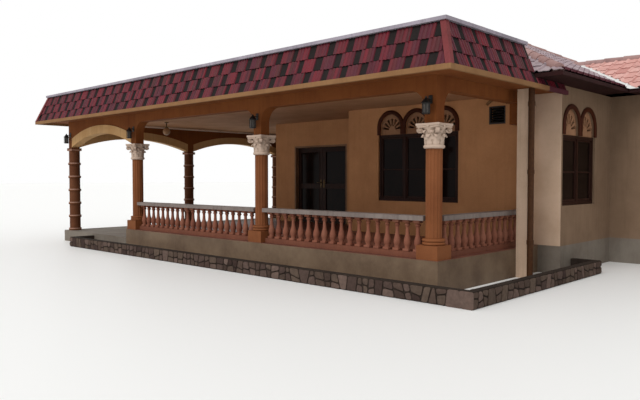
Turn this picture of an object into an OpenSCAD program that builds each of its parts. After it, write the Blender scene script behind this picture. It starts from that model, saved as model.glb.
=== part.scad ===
// Single-storey bungalow with a columned front veranda, an arcaded side porch,
// a tiled mansard band round the flat veranda roof, a hipped main roof and a side wing.
// Millimetres, +Z up, front of the house towards -Y. The origin is the middle of
// the whole footprint, at ground level.

/* [Column grid] */
// Front bay that holds the arch, from the left column line to the second
arch_bay = 3150; // [2900:50:3500]
// Middle bay of the veranda front
mid_bay = 4300; // [4100:50:4700]
// Right bay of the veranda front
right_bay = 3750; // [3500:50:4100]
// Bay of the arcade along the left side of the porch
arcade_bay = 3600; // [3300:50:3900]

/* [House plan] */
// Front column line to the outer face of the front room
room_front = 2950; // [2700:50:3200]
// Front column line to the outer face of the recessed door wall
door_front = 4300; // [4000:50:4700]
// Front column line to the outer face of the back wall
house_back = 9600; // [9200:50:10200]
// Width of the recess with the doors, from the left wall to the front room
recess_w = 3850; // [3600:50:4000]
// Right wall face beyond the last column line
side_out = 600; // [450:50:750]
// Front column line to the outer face of the wing's front wall
wing_front = 5270; // [5000:10:5500]
// Depth of the wing over its walls
wing_depth = 2420; // [2200:20:2700]
// Length of the wing beyond the right wall
wing_len = 3000; // [2400:100:3600]
// Thickness of the plastered brick walls
wall_t = 150; // [120:10:200]

/* [Levels] */
// House and veranda floor above ground
floor_z = 480; // [420:20:540]
// Porch floor above ground
porch_z = 280; // [200:20:320]
// Underside of the boxed eaves
soffit_z = 3110; // [3010:50:3260]
// Underside of the beams
beam_z = 2920; // [2860:20:2960]
// Top of the capitals
capital_top = 2430; // [2380:10:2450]
// Line on which the porch arches spring
spring_z = 2450; // [2420:10:2480]

/* [Slabs and edges] */
// Thickness of the flat roof and of the ceiling over the rooms
slab_t = 100; // [90:10:130]
// Thickness of the soffit lining
lining_t = 20; // [12:2:30]
// Floor edge beyond the column lines
floor_out = 200; // [190:10:260]

/* [Tiled band] */
// How far the foot of the band hangs below the soffit
band_drop = 60; // [40:10:80]
// Thickness of the lip at its foot, in front of the lining
lip_t = 60; // [50:5:80]
// Lower edge of the band beyond the column lines
band_out = 720; // [650:10:800]
// How far the band leans back over its height
band_lean = 230; // [180:10:260]
// Height of the band below its coping
band_h = 700; // [600:20:800]
// Number of tile courses
band_courses = 3; // [2:1:4]
// How far each course stands out over the one below it
course_step = 28; // [15:1:35]
// Thickness of the band at its top
band_top_t = 100; // [80:10:120]
// Height of the coping
coping_h = 50; // [40:5:80]
// Coping overhang on each side
coping_out = 20; // [10:5:30]
// Width of each wing of the cap over a corner of the band
hip_cap_w = 100; // [80:10:130]

/* [Hipped roof] */
// Rise of the roof for each unit of run
pitch = 0.5; // [0.4:0.05:0.55]
// Eaves beyond the walls
eave_out = 500; // [400:50:600]
// Front eave of the main roof in front of the front room wall
front_eave_out = 1100; // [900:50:1300]
// Height of the fascia at the eaves
fascia_h = 90; // [80:10:130]
// Thickness of the roof, measured upright
roof_t = 120; // [110:10:150]
// Thickness of the boarding under the eaves
eave_board_t = 40; // [30:5:50]
// Radius of the ridge and hip tiles
ridge_r = 100; // [80:5:120]

/* [Columns] */
// Diameter of the fluted shafts
shaft_d = 240; // [210:5:250]
// Flutes round a shaft
flutes = 14; // [10:1:18]
// Side of the square stubs between capital and beam, and the width of the beams
stub_w = 200; // [190:10:230]
// Height of a capital
capital_h = 360; // [320:10:400]
// Side of the capital's top slab
abacus_w = 400; // [360:10:420]
// Height of the shaft base, plinth and mouldings together
base_h = 300; // [240:10:340]
// Diameter of the banded porch columns between their bands
banded_d = 270; // [240:10:290]
// How far the bands stand out
ring_out = 22; // [15:1:30]
// Height of a band
ring_h = 60; // [40:5:80]
// Distance from band to band
ring_pitch = 342; // [280:2:400]
// Radius of the rounded corners under the beams
haunch_r = 270; // [220:10:320]
// Length of the square drop under the wall end of the side beam
side_drop = 330; // [280:10:380]
// Underside of that drop above ground
side_drop_z = 2570; // [2500:10:2650]

/* [Porch arches] */
// Rise of the inner curve of an arch
arch_rise = 290; // [240:10:300]
// Underside of the deep beam at the back of the porch
back_beam_z = 2450; // [2400:10:2600]
// Width of the arch band, seen from the front
arch_w = 205; // [160:5:220]
// How far the arch band stands out of the wall over it
arch_out = 15; // [5:5:25]

/* [Balustrade] */
// Top of the handrail above ground
rail_top = 1100; // [1050:10:1200]
// Height of the handrail
rail_h = 70; // [60:5:90]
// Width of the handrail
rail_w = 200; // [160:10:220]
// Height of the bottom rail
foot_rail_h = 80; // [60:5:100]
// Width of the bottom rail
foot_rail_w = 150; // [140:5:180]
// Distance from baluster to baluster
baluster_pitch = 185; // [170:5:220]
// Largest diameter of a baluster
baluster_d = 120; // [100:5:130]
// Mortar joint between the bottom rails and the column bases
rail_joint = 2; // [1:0.5:4]

/* [Wall end of the side beam] */
// Width of the half pier under the beam
pilaster_w = 200; // [180:10:230]
// How far it stands out of the wall
pilaster_out = 170; // [140:10:200]
// Width of the rainwater pipe casing outside it
casing_w = 200; // [160:10:220]
// Depth of the casing
casing_d = 150; // [120:10:200]
// Front room wall face to the middle of the casing
casing_in = 740; // [650:10:850]

/* [Windows] */
// Width of one light of the front window
front_light = 650; // [600:10:680]
// Width of one light of the other windows
side_light = 720; // [640:10:760]
// Window sills above ground
sill_z = 1170; // [1050:10:1250]
// Head of the front window above ground
front_head_z = 2555; // [2480:5:2560]
// Heads of the other windows above ground
head_z = 2400; // [2350:10:2480]
// Height of the upright part of an arched head
stilt_h = 160; // [120:5:170]
// Width of the moulding round an arched head
moulding_w = 50; // [40:5:60]
// How far that moulding stands out of the wall
moulding_out = 30; // [20:5:40]
// Width of the members of the window frames
frame_w = 55; // [45:5:70]
// Depth of the window frames
frame_d = 80; // [60:5:100]
// Thickness of the glass
glass_t = 8; // [6:1:12]
// Left corner of the front room to the front window
front_window_in = 840; // [750:10:1000]
// Front room wall face to the right side window
side_window_in = 60; // [50:10:200]
// Side of the square wall vent
vent_w = 330; // [260:10:360]
// Right wall face to the middle of the wall vent
vent_in = 1200; // [1100:10:1300]
// Middle of the wall vent above ground
vent_z = 2800; // [2750:10:2850]

/* [Doors] */
// Width of the doorway
door_w = 1880; // [1700:20:1940]
// Height of the doorway above the floor
door_h = 2020; // [1980:10:2100]
// Left wall face to the doorway
door_in = 740; // [600:20:900]
// Width of the door lining
door_lining = 45; // [40:5:60]
// Thickness of a door leaf
leaf_t = 40; // [36:2:50]
// Gap round a door leaf
leaf_gap = 6; // [5:1:10]
// Width of a leaf's stiles and rails
stile_w = 110; // [90:5:130]
// Outer hinges from the top and bottom of a leaf
hinge_in = 250; // [200:10:300]
// Middle rail of a leaf above the floor
mid_rail = 950; // [850:10:1000]

/* [Planter] */
// Face of the planter wall in front of the column line
planter_out = 780; // [740:10:900]
// Face of the planter wall beyond the last column line
planter_side = 1100; // [1000:10:1200]
// Left end of the planter, from the left column line
planter_in = 1300; // [1000:50:1600]
// Rear end of the planter, from the front column line
planter_back = 3530; // [3350:10:3700]
// Height of the planter wall
planter_h = 230; // [200:10:300]
// Thickness of the planter wall
planter_t = 150; // [120:10:180]

/* [Lights] */
// Diameter of the ceiling globe
globe_d = 200; // [160:10:260]
// Lantern diameter
lantern_d = 130; // [110:10:150]
// Lantern height
lantern_h = 250; // [200:10:280]
// Beam's underside down to the foot of a lantern
lantern_drop = 370; // [300:10:420]
// Arm between a stub and a lantern's middle
lantern_arm = 110; // [90:10:160]

/* [Hidden] */

// Cuts run this far past the faces they cut, and loose joints are this wide
eps = 10;
joint_w = 0.5;

// Colours of the pieces
wall_colour = "#e3c9a4";
terracotta = "#a4643a";
shaft_colour = "#8d5544";
white_colour = "#ded9cf";
tile_colour = "#73303f";
roof_colour = "#dba698";
dark_timber = "#3a2018";

// Column lines, with the middle of the footprint at the origin
grid_w = arch_bay + mid_bay + right_bay;
reach_right = side_out + wing_len + eave_out;
reach_front = max(planter_out, band_out);
col_x0 = -(band_out + grid_w + reach_right) / 2 + band_out;
row_y0 = -(reach_front + house_back + eave_out) / 2 + reach_front;
col_x = [col_x0, col_x0 + arch_bay, col_x0 + arch_bay + mid_bay, col_x0 + grid_w];
row_y = [row_y0, row_y0 + arcade_bay, row_y0 + 2 * arcade_bay];

// Outer faces of the house walls
house_x0 = col_x[1];
house_x1 = col_x[3] + side_out;
house_y1 = row_y[0] + house_back;
room_x0 = house_x0 + recess_w;
room_y0 = row_y[0] + room_front;
door_y0 = row_y[0] + door_front;
wing_x1 = house_x1 + wing_len;
wing_y0 = row_y[0] + wing_front;
wing_y1 = wing_y0 + wing_depth;

// Levels that follow from the others
slab_z = soffit_z + lining_t;
deck_z = slab_z + slab_t;
eave_z = deck_z + fascia_h;
band_z = soffit_z - band_drop;
band_top = band_z + band_h;
capital_z = capital_top - capital_h;

// Edges of the tiled band: outer foot, inner face
band_x0 = col_x[0] - band_out;
band_x1 = col_x[3] + band_out;
band_y0 = row_y[0] - band_out;
band_y1 = row_y[2] + band_out;
band_in = band_lean + band_top_t;

// Eave lines of the hipped roofs
roof_x0 = house_x0 - eave_out;
roof_x1 = house_x1 + eave_out;
roof_y0 = room_y0 - front_eave_out;
roof_y1 = house_y1 + eave_out;
wing_roof_y0 = wing_y0 - eave_out;
wing_roof_y1 = wing_y1 + eave_out;
wing_roof_x1 = wing_x1 + eave_out;
wing_half = (wing_roof_y1 - wing_roof_y0) / 2;
main_half = (roof_y1 - roof_y0) / 2;

// Doorway
door_x0 = house_x0 + door_in;
door_x1 = door_x0 + door_w;
door_top = floor_z + door_h;
leaf_w = (door_w - 2 * door_lining - 3 * leaf_gap) / 2;
leaf_h = door_h - door_lining - 2 * leaf_gap;
pin_r = 8;
pin_h = 45;
pin_out = pin_r + 1;
hinge_gap = 0.3;
plate_t = 4;

// Windows: middle of the opening on the wall face, turn about Z, lights, light width, head
front_window = [
    room_x0 + front_window_in + 1.5 * front_light, room_y0, 0, 3, front_light, front_head_z
];
side_window = [house_x1, room_y0 + side_window_in + side_light, 90, 2, side_light, head_z];
wing_window = [wing_x1, (wing_y0 + wing_y1) / 2, 90, 2, side_light, head_z];
back_windows = [
    for (part = [1, 3])
        [house_x0 + part * (house_x1 - house_x0) / 4, house_y1, 180, 2, side_light, head_z]
];
left_window = [house_x0, (door_y0 + row_y[2]) / 2, -90, 2, side_light, head_z];
other_windows = concat([side_window, wing_window, left_window], back_windows);
all_windows = concat([front_window], other_windows);

$fn = 48;

// General shapes

// A box between two opposite corners
module block(low, high) {
    translate(low)
        cube(high - low);
}

// A flat plate from an outline in plan
module plate(outline, z0, z1) {
    translate([0, 0, z0])
        linear_extrude(z1 - z0)
            polygon(outline);
}

// Stands its children, drawn in x and height, upright from y0 to y1
module upright(y0, y1) {
    translate([0, y1, 0])
        rotate([90, 0, 0])
            linear_extrude(y1 - y0)
                children();
}

// Moves its children to a window: x along the wall, y into it
module at_window(w) {
    translate([w[0], w[1], 0])
        rotate([0, 0, w[2]])
            children();
}

// Floors

function house_outline() = [
    [house_x0, door_y0], [room_x0, door_y0], [room_x0, room_y0], [house_x1, room_y0],
    [house_x1, wing_y0], [wing_x1, wing_y0], [wing_x1, wing_y1], [house_x1, wing_y1],
    [house_x1, house_y1], [house_x0, house_y1]
];

// Raised floor of the rooms, down to the ground
module house_floor() {
    color("#b9a68c")
        plate(house_outline(), 0, floor_z);
}

// Raised floor of the veranda and of the recess before the doors
module veranda_floor() {
    color("#a2756a")
        plate([
            [house_x0 - floor_out, row_y[0] - floor_out],
            [col_x[3] + floor_out, row_y[0] - floor_out],
            [col_x[3] + floor_out, room_y0], [room_x0, room_y0],
            [room_x0, door_y0], [house_x0 - floor_out, door_y0]
        ], 0, floor_z);
}

// Low floor of the porch, one step down from the veranda
module porch_floor() {
    color("#a39a90")
        plate([
            [col_x[0] - floor_out, row_y[0] - floor_out],
            [house_x0 - floor_out, row_y[0] - floor_out],
            [house_x0 - floor_out, door_y0], [house_x0, door_y0],
            [house_x0, row_y[2] + floor_out], [col_x[0] - floor_out, row_y[2] + floor_out]
        ], 0, porch_z);
}

// Low stone-faced walls round the flower beds, four straight runs
module planter_walls() {
    x0 = col_x[0] + planter_in;
    x1 = col_x[3] + planter_side;
    y0 = row_y[0] - planter_out;
    y1 = row_y[0] + planter_back;
    color("#6f625c") {
        block([x0, y0, 0], [x1, y0 + planter_t, planter_h]);
        block([x0, y0 + planter_t + joint_w, 0],
              [x0 + planter_t, row_y[0] - floor_out, planter_h]);
        block([x1 - planter_t, y0 + planter_t + joint_w, 0], [x1, y1, planter_h]);
        block([house_x1, y1 - planter_t, 0], [x1 - planter_t - joint_w, y1, planter_h]);
    }
}

// Walls

// Outline of the hole for a window: lights below, arched heads above
module window_hole_outline(w) {
    half = w[3] * w[4] / 2;
    translate([-half, sill_z])
        square([2 * half, w[5] - sill_z]);
    for (i = [0 : w[3] - 1])
        translate([(i + 0.5) * w[4] - half, w[5]])
            arched_head(w[4] / 2 - moulding_w, eps);
}

// An arched head on its springing line, carried down by some depth
module arched_head(half, down) {
    translate([-half, -down])
        square([2 * half, stilt_h + down]);
    translate([0, stilt_h])
        intersection() {
            circle(half);
            translate([-half, 0])
                square([2 * half, half]);
        }
}

module window_hole(w) {
    at_window(w)
        upright(-eps, wall_t + eps)
            window_hole_outline(w);
}

// Wall on both sides of the doorway
module door_side_walls() {
    color(wall_colour) {
        block([house_x0, door_y0, floor_z], [door_x0, door_y0 + wall_t, slab_z]);
        block([door_x1, door_y0, floor_z], [room_x0, door_y0 + wall_t, slab_z]);
    }
}

// Wall over the doorway
module door_head_wall() {
    color(wall_colour)
        block([door_x0, door_y0, door_top], [door_x1, door_y0 + wall_t, slab_z]);
}

// Side of the front room that faces the recess
module recess_wall() {
    color(wall_colour)
        block([room_x0, room_y0 + wall_t, floor_z],
              [room_x0 + wall_t, door_y0 + wall_t, slab_z]);
}

// Front of the projecting room, with the triple window and the vent
module front_room_wall() {
    color(wall_colour)
        difference() {
            block([room_x0, room_y0, floor_z],
                  [house_x1 - wall_t, room_y0 + wall_t, slab_z]);
            window_hole(front_window);
            vent_hole();
        }
}

// Right walls: in front of the wing, with the double window, and behind the wing
module right_walls() {
    color(wall_colour) {
        difference() {
            block([house_x1 - wall_t, room_y0, floor_z],
                  [house_x1, wing_y0 + wall_t, slab_z]);
            window_hole(side_window);
        }
        block([house_x1 - wall_t, wing_y1 - wall_t, floor_z],
              [house_x1, house_y1 - wall_t, slab_z]);
    }
}

// Front and back walls of the wing
module wing_side_walls() {
    color(wall_colour) {
        block([house_x1, wing_y0, floor_z], [wing_x1, wing_y0 + wall_t, slab_z]);
        block([house_x1, wing_y1 - wall_t, floor_z], [wing_x1, wing_y1, slab_z]);
    }
}

module wing_end_wall() {
    color(wall_colour)
        difference() {
            block([wing_x1 - wall_t, wing_y0 + wall_t, floor_z],
                  [wing_x1, wing_y1 - wall_t, slab_z]);
            window_hole(wing_window);
        }
}

module back_wall() {
    color(wall_colour)
        difference() {
            block([house_x0, house_y1 - wall_t, floor_z], [house_x1, house_y1, slab_z]);
            for (w = back_windows)
                window_hole(w);
        }
}

module left_wall() {
    color(wall_colour)
        difference() {
            block([house_x0, door_y0 + wall_t, floor_z],
                  [house_x0 + wall_t, house_y1 - wall_t, slab_z]);
            window_hole(left_window);
        }
}

// Half pier on the front room wall that carries the end of the side beam,
// and the casing of the rainwater pipe outside the veranda floor
module wall_pilaster() {
    casing_x = col_x[3] + floor_out + joint_w;
    casing_y = room_y0 - casing_in;
    color(wall_colour) {
        block([col_x[3] - pilaster_w / 2, room_y0 - pilaster_out, floor_z],
              [col_x[3] + pilaster_w / 2, room_y0, side_drop_z]);
        block([casing_x, casing_y - casing_d / 2, 0],
              [casing_x + casing_w, casing_y + casing_d / 2, soffit_z]);
    }
}

// Slabs and roofs

// Ceiling slab on the house walls
module house_ceiling() {
    color(white_colour)
        plate(house_outline(), slab_z, deck_z);
}

// Flat roof over the veranda and the porch
module veranda_roof() {
    color("#9c968d")
        plate([
            [band_x0 + band_in, band_y0 + band_in], [band_x1 - band_in, band_y0 + band_in],
            [band_x1 - band_in, room_y0], [room_x0, room_y0], [room_x0, door_y0],
            [house_x0, door_y0], [house_x0, band_y1 - band_in],
            [band_x0 + band_in, band_y1 - band_in]
        ], slab_z, deck_z);
}

// A solid hipped roof on a rectangle: upright edge from z0 to z1, then four slopes
module hip_mass(x0, x1, y0, y1, z0, z1) {
    mid_x = (x0 + x1) / 2;
    mid_y = (y0 + y1) / 2;
    intersection() {
        upright(y0, y1)
            polygon([[x0, z0], [x1, z0], [x1, z1],
                     [mid_x, z1 + pitch * (mid_x - x0)], [x0, z1]]);
        translate([x0, 0, 0])
            rotate([90, 0, 90])
                linear_extrude(x1 - x0)
                    polygon([[y0, z0], [y1, z0], [y1, z1],
                             [mid_y, z1 + pitch * (mid_y - y0)], [y0, z1]]);
    }
}

// Main roof and wing roof as one solid, drawn in from the eaves by some width
module roof_mass(inset, z0, z1) {
    hip_mass(roof_x0 + inset, roof_x1 - inset, roof_y0 + inset, roof_y1 - inset, z0, z1);
    // The wing's mass is mirrored about its eave corner, far enough into the main roof
    hip_mass(2 * roof_x1 - wing_roof_x1 - 2 * wing_half + inset, wing_roof_x1 - inset,
             wing_roof_y0 + inset, wing_roof_y1 - inset, z0, z1);
}

// Hollow tiled roof with boarded eaves, open below over the rooms
module main_roof() {
    base = deck_z + eave_board_t;
    inset = (base - eave_z + roof_t) / pitch;
    color(roof_colour)
        difference() {
            roof_mass(0, deck_z, eave_z);
            roof_mass(inset, base, base + 1);
            block([house_x0 + wall_t, door_y0 + wall_t, deck_z - eps],
                  [house_x1 - wall_t, house_y1 - wall_t, base + eps]);
            block([room_x0 + wall_t, room_y0 + wall_t, deck_z - eps],
                  [house_x1 - wall_t, door_y0 + wall_t + eps, base + eps]);
            block([house_x1 - wall_t - eps, wing_y0 + wall_t, deck_z - eps],
                  [wing_x1 - wall_t, wing_y1 - wall_t, base + eps]);
        }
}

// A twelve-sided bar from one point to another
module bar(from, to, r) {
    run = to - from;
    flat = norm([run[0], run[1]]);
    translate(from)
        rotate([0, atan2(flat, run[2]), atan2(run[1], run[0])])
            cylinder(r = r, h = norm(run), $fn = 12);
}

// Rounded tiles along the ridges and hips
module ridge_caps() {
    drop = ridge_r * 0.55;
    low = eave_z - drop;
    ridge_z = low + pitch * main_half;
    wing_z = low + pitch * wing_half;
    mid_y = (roof_y0 + roof_y1) / 2;
    wing_mid = (wing_roof_y0 + wing_roof_y1) / 2;
    ends = [[roof_x0 + main_half, mid_y, ridge_z], [roof_x1 - main_half, mid_y, ridge_z]];
    wing_end = [wing_roof_x1 - wing_half, wing_mid, wing_z];
    color("#c98f82")
        difference() {
            intersection() {
                union() {
                    bar(ends[0], ends[1], ridge_r);
                    for (y = [roof_y0, roof_y1]) {
                        bar([roof_x0, y, low], ends[0], ridge_r);
                        bar([roof_x1, y, low], ends[1], ridge_r);
                    }
                    bar([roof_x1 - wing_half, wing_mid, wing_z], wing_end, ridge_r);
                    for (y = [wing_roof_y0, wing_roof_y1])
                        bar([wing_roof_x1, y, low], wing_end, ridge_r);
                }
                block([roof_x0, roof_y0, eave_z - fascia_h],
                      [wing_roof_x1, roof_y1, ridge_z + 2 * ridge_r]);
            }
            roof_mass(0, deck_z, eave_z);
        }
}

// Tiled band, its caps, coping and lining

// Slanting face of the band as distance out and height, stepped where the courses lap
function band_face() = [
    for (i = [0 : band_courses - 1], upper = [0, 1])
        [
            band_out - (i + upper) * band_lean / band_courses - upper * course_step,
            band_z + (i + upper) * band_h / band_courses
        ]
];

// The rectangle of the band as one solid block, from a face outline
module band_mass(face) {
    out = [for (p = face) [p[0] - band_out, p[1]]];
    low = face[0][1];
    high = face[len(face) - 1][1];
    intersection() {
        upright(band_y0, band_y1)
            polygon(concat(
                [for (p = out) [band_x1 + p[0], p[1]]],
                [for (i = [len(out) - 1 : -1 : 0]) [band_x0 - out[i][0], out[i][1]]]
            ));
        translate([band_x0, 0, 0])
            rotate([90, 0, 90])
                linear_extrude(band_x1 - band_x0)
                    polygon(concat(
                        [for (p = out) [band_y1 + p[0], p[1]]],
                        [for (i = [len(out) - 1 : -1 : 0]) [band_y0 - out[i][0], out[i][1]]]
                    ));
    }
}

// Plan of the four runs: right, left, front, back, mitred at the corners
module run_plans(d, z0, z1) {
    plate([[band_x1, band_y0], [band_x1, room_y0], [band_x1 - d, room_y0],
           [band_x1 - d, band_y0 + d]], z0, z1);
    plate([[band_x0, band_y0], [band_x0 + d, band_y0 + d],
           [band_x0 + d, band_y1 - d], [band_x0, band_y1]], z0, z1);
    plate([[band_x0 + joint_w, band_y0], [band_x1 - joint_w, band_y0],
           [band_x1 - d - joint_w, band_y0 + d], [band_x0 + d + joint_w, band_y0 + d]],
          z0, z1);
    plate([[band_x0 + joint_w, band_y1], [band_x0 + d + joint_w, band_y1 - d],
           [house_x0, band_y1 - d], [house_x0, band_y1]], z0, z1);
}

// What the main roof and its eaves take away from the band
module under_main_roof() {
    block([roof_x0, roof_y0, deck_z], [roof_x1, roof_y1, band_top + 2 * coping_h]);
}

// The room that the eaves lining takes behind the foot of the band
module lining_space() {
    block([band_x0 + lip_t, band_y0 + lip_t, band_z - eps],
          [band_x1 - lip_t, band_y1 - lip_t, slab_z]);
}

// Upstand with lapped tile courses, standing on the flat roof's edge
module tiled_band() {
    color(tile_colour)
        difference() {
            intersection() {
                band_mass(band_face());
                run_plans(band_in, band_z - eps, band_top + eps);
            }
            lining_space();
            under_main_roof();
            corner_cap_mass();
        }
}

// The two-winged shape of a corner cap, at three corners
module corner_cap_mass() {
    plain = [[band_out, band_z], [band_out - band_lean, band_top]];
    corners = [[band_x0, band_y0, 1, 1], [band_x1, band_y0, -1, 1], [band_x0, band_y1, 1, -1]];
    w = hip_cap_w * sqrt(2);
    intersection() {
        difference() {
            band_mass(plain);
            band_mass([for (p = plain) [p[0] - course_step, p[1]]]);
        }
        for (c = corners)
            plate([[c[0] - c[2] * eps, c[1] - c[3] * eps],
                   [c[0] - c[2] * eps + c[2] * w, c[1] - c[3] * eps],
                   [c[0] + c[2] * (band_in + w), c[1] + c[3] * band_in],
                   [c[0] + c[2] * band_in, c[1] + c[3] * (band_in + w)],
                   [c[0] - c[2] * eps, c[1] - c[3] * eps + c[3] * w]],
                  band_z - eps, band_top + eps);
    }
}

// Flat caps over the three corners of the band
module band_corner_caps() {
    color("#96504a")
        difference() {
            corner_cap_mass();
            lining_space();
        }
}

// Cement coping along the top of the band
module parapet_coping() {
    out = band_lean - coping_out;
    color("#b3aca6")
        difference() {
            intersection() {
                block([band_x0 + out, band_y0 + out, band_top],
                      [band_x1 - out, band_y1 - out, band_top + coping_h]);
                run_plans(band_in + coping_out, band_top - eps, band_top + coping_h + eps);
            }
            under_main_roof();
        }
}

// Plastered lining under the eaves, between the beams and the foot of the band
module eaves_lining() {
    edge = stub_w / 2;
    color("#c8a37c")
        difference() {
            plate([
                [band_x0 + lip_t, band_y0 + lip_t], [band_x1 - lip_t, band_y0 + lip_t],
                [band_x1 - lip_t, room_y0], [house_x0, room_y0],
                [house_x0, band_y1 - lip_t], [band_x0 + lip_t, band_y1 - lip_t]
            ], soffit_z, slab_z);
            block([col_x[0] - edge, row_y[0] - edge, soffit_z - eps],
                  [col_x[3] + edge, room_y0 + eps, slab_z + eps]);
            block([col_x[0] - edge, row_y[0] - edge, soffit_z - eps],
                  [house_x0 + eps, row_y[2] + edge, slab_z + eps]);
        }
}

// Beams and arches

// Rounded corner block under a beam, to the right of x = 0
module haunch_outline() {
    difference() {
        translate([0, beam_z - haunch_r])
            square(haunch_r);
        translate([haunch_r, beam_z - haunch_r])
            circle(haunch_r);
    }
}

// Beam outline over a bay with two rounded corners
module bay_outline(x0, x1) {
    translate([x0, 0])
        haunch_outline();
    translate([x1, 0])
        mirror([1, 0])
            haunch_outline();
}

// Radius of the inner curve of an arch over a clear span
function arch_r(span) = (pow(span / 2, 2) + pow(arch_rise, 2)) / (2 * arch_rise);

// Outline below one of the curves of an arch, from the springing line up
module arch_outline(x0, x1, grow) {
    r = arch_r(x1 - x0);
    intersection() {
        translate([x0, spring_z])
            square([x1 - x0, arch_rise + grow + eps]);
        translate([(x0 + x1) / 2, spring_z + arch_rise - r])
            circle(r + grow, $fn = 720);
    }
}

// Wall over an arch, up to the beam
module spandrel_outline(x0, x1) {
    difference() {
        translate([x0, spring_z])
            square([x1 - x0, beam_z - spring_z + eps]);
        arch_outline(x0, x1, arch_w);
    }
}

// Front beam over all three bays, with the wall over the arch
module front_beam() {
    h = stub_w / 2;
    color(terracotta)
        upright(row_y[0] - h, row_y[0] + h)
            difference() {
                union() {
                    translate([col_x[0] - h, beam_z])
                        square([grid_w + stub_w, slab_z - beam_z]);
                    bay_outline(col_x[1] + h, col_x[2] - h);
                    bay_outline(col_x[2] + h, col_x[3] - h);
                    spandrel_outline(col_x[0] + h, col_x[1] - h);
                }
                arch_outline(col_x[0] + h, col_x[1] - h, arch_w);
            }
}

// Beam on the right side, from the corner column to the pilaster
module side_beam() {
    h = stub_w / 2;
    y0 = row_y[0] + h;
    y1 = room_y0 - pilaster_out - side_drop;
    color(terracotta)
        translate([col_x[3] - h, 0, 0])
            rotate([90, 0, 90])
                linear_extrude(stub_w) {
                    translate([y0, beam_z])
                        square([room_y0 - y0, slab_z - beam_z]);
                    translate([y0, 0])
                        haunch_outline();
                    translate([y1, side_drop_z])
                        square([room_y0 - y1, beam_z - side_drop_z + eps]);
                }
}

// Beams of the porch: over the two arches on its left side, and a deep one at its back
module porch_beams() {
    h = stub_w / 2;
    color(terracotta) {
        block([col_x[0] + h + joint_w, row_y[2] - h, back_beam_z],
              [house_x0, row_y[2] + h, slab_z]);
        translate([col_x[0] - h, 0, 0])
            rotate([90, 0, 90])
                linear_extrude(stub_w)
                    difference() {
                        union() {
                            translate([row_y[0] + h, beam_z])
                                square([row_y[2] - row_y[0], slab_z - beam_z]);
                            for (i = [0, 1])
                                spandrel_outline(row_y[i] + h, row_y[i + 1] - h);
                        }
                        for (i = [0, 1])
                            arch_outline(row_y[i] + h, row_y[i + 1] - h, arch_w);
                    }
    }
}

// Cream bands along the porch arches: one in front and two on the side
module arch_bands() {
    h = stub_w / 2;
    color("#dfc99c") {
        upright(row_y[0] - h - arch_out, row_y[0] + h - joint_w)
            arch_band_outline(col_x[0] + h, col_x[1] - h);
        for (i = [0, 1])
            translate([col_x[0] - h - arch_out, 0, 0])
                rotate([90, 0, 90])
                    linear_extrude(stub_w + arch_out - joint_w)
                        arch_band_outline(row_y[i] + h, row_y[i + 1] - h);
    }
}

module arch_band_outline(x0, x1) {
    difference() {
        arch_outline(x0, x1, arch_w);
        arch_outline(x0, x1, 0);
    }
}

// Columns

fluted_columns = [for (i = [1 : 3]) [col_x[i], row_y[0]]];
banded_places = [for (y = row_y) [col_x[0], y]];

// Square stubs between the capitals and the beams
module column_stubs() {
    color(terracotta)
        for (p = concat(fluted_columns, banded_places))
            block([p[0] - stub_w / 2, p[1] - stub_w / 2, capital_top],
                  [p[0] + stub_w / 2, p[1] + stub_w / 2, beam_z]);
}

module column_capitals() {
    color(white_colour)
        for (p = fluted_columns)
            translate([p[0], p[1], capital_z])
                capital();
}

// Leafy capital: ring, flaring bell, two rows of leaves, corner scrolls and top slab
module capital() {
    ring_r = shaft_d / 2 + 30;
    bell_r = shaft_d / 2 + 12;
    abacus_t = 60;
    abacus_z = capital_h - abacus_t;
    side_r = 1.15 * abacus_w;
    rotate_extrude()
        union() {
            square([ring_r - 20, 40]);
            translate([ring_r - 20, 20])
                circle(20);
            polygon([[0, 35], [bell_r, 35], [bell_r, abacus_z * 0.55],
                     [bell_r + 14, abacus_z * 0.8], [bell_r + 34, abacus_z],
                     [0, abacus_z]]);
        }
    for (a = [0 : 45 : 315])
        rotate([0, 0, a])
            leaf(bell_r - 8, 40, 150, 76);
    for (a = [22.5 : 45 : 360])
        rotate([0, 0, a])
            leaf(bell_r - 8, 120, 130, 60);
    for (a = [45 : 90 : 315])
        rotate([0, 0, a])
            translate([abacus_w * 0.56, 0, abacus_z - 38])
                rotate([90, 0, 0])
                    cylinder(r = 38, h = 64, center = true);
    for (a = [45 : 90 : 315])
        rotate([0, 0, a])
            translate([bell_r - 10, -22, abacus_z - 60])
                cube([abacus_w * 0.56 - bell_r + 10, 44, 60]);
    translate([0, 0, abacus_z])
        linear_extrude(abacus_t)
            difference() {
                square(abacus_w, center = true);
                for (a = [0 : 90 : 270])
                    rotate(a)
                        translate([abacus_w / 2 + side_r - 34, 0])
                            circle(side_r, $fn = 120);
            }
}

// One curling leaf, standing out of the bell
module leaf(r, z, h, w) {
    translate([r, w / 2, z])
        rotate([90, 0, 0])
            linear_extrude(w)
                polygon([[0, 0], [16, 0], [20, h * 0.4], [30, h * 0.7], [50, h * 0.86],
                         [52, h], [38, h * 1.04], [16, h * 0.9], [0, h * 0.7]]);
}

module column_shafts() {
    color(shaft_colour)
        for (p = fluted_columns)
            translate([p[0], p[1], floor_z])
                fluted_shaft(capital_z - floor_z);
}

// Radius of the round mouldings on a column base
base_moulding_r = base_h * 0.08;

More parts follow.
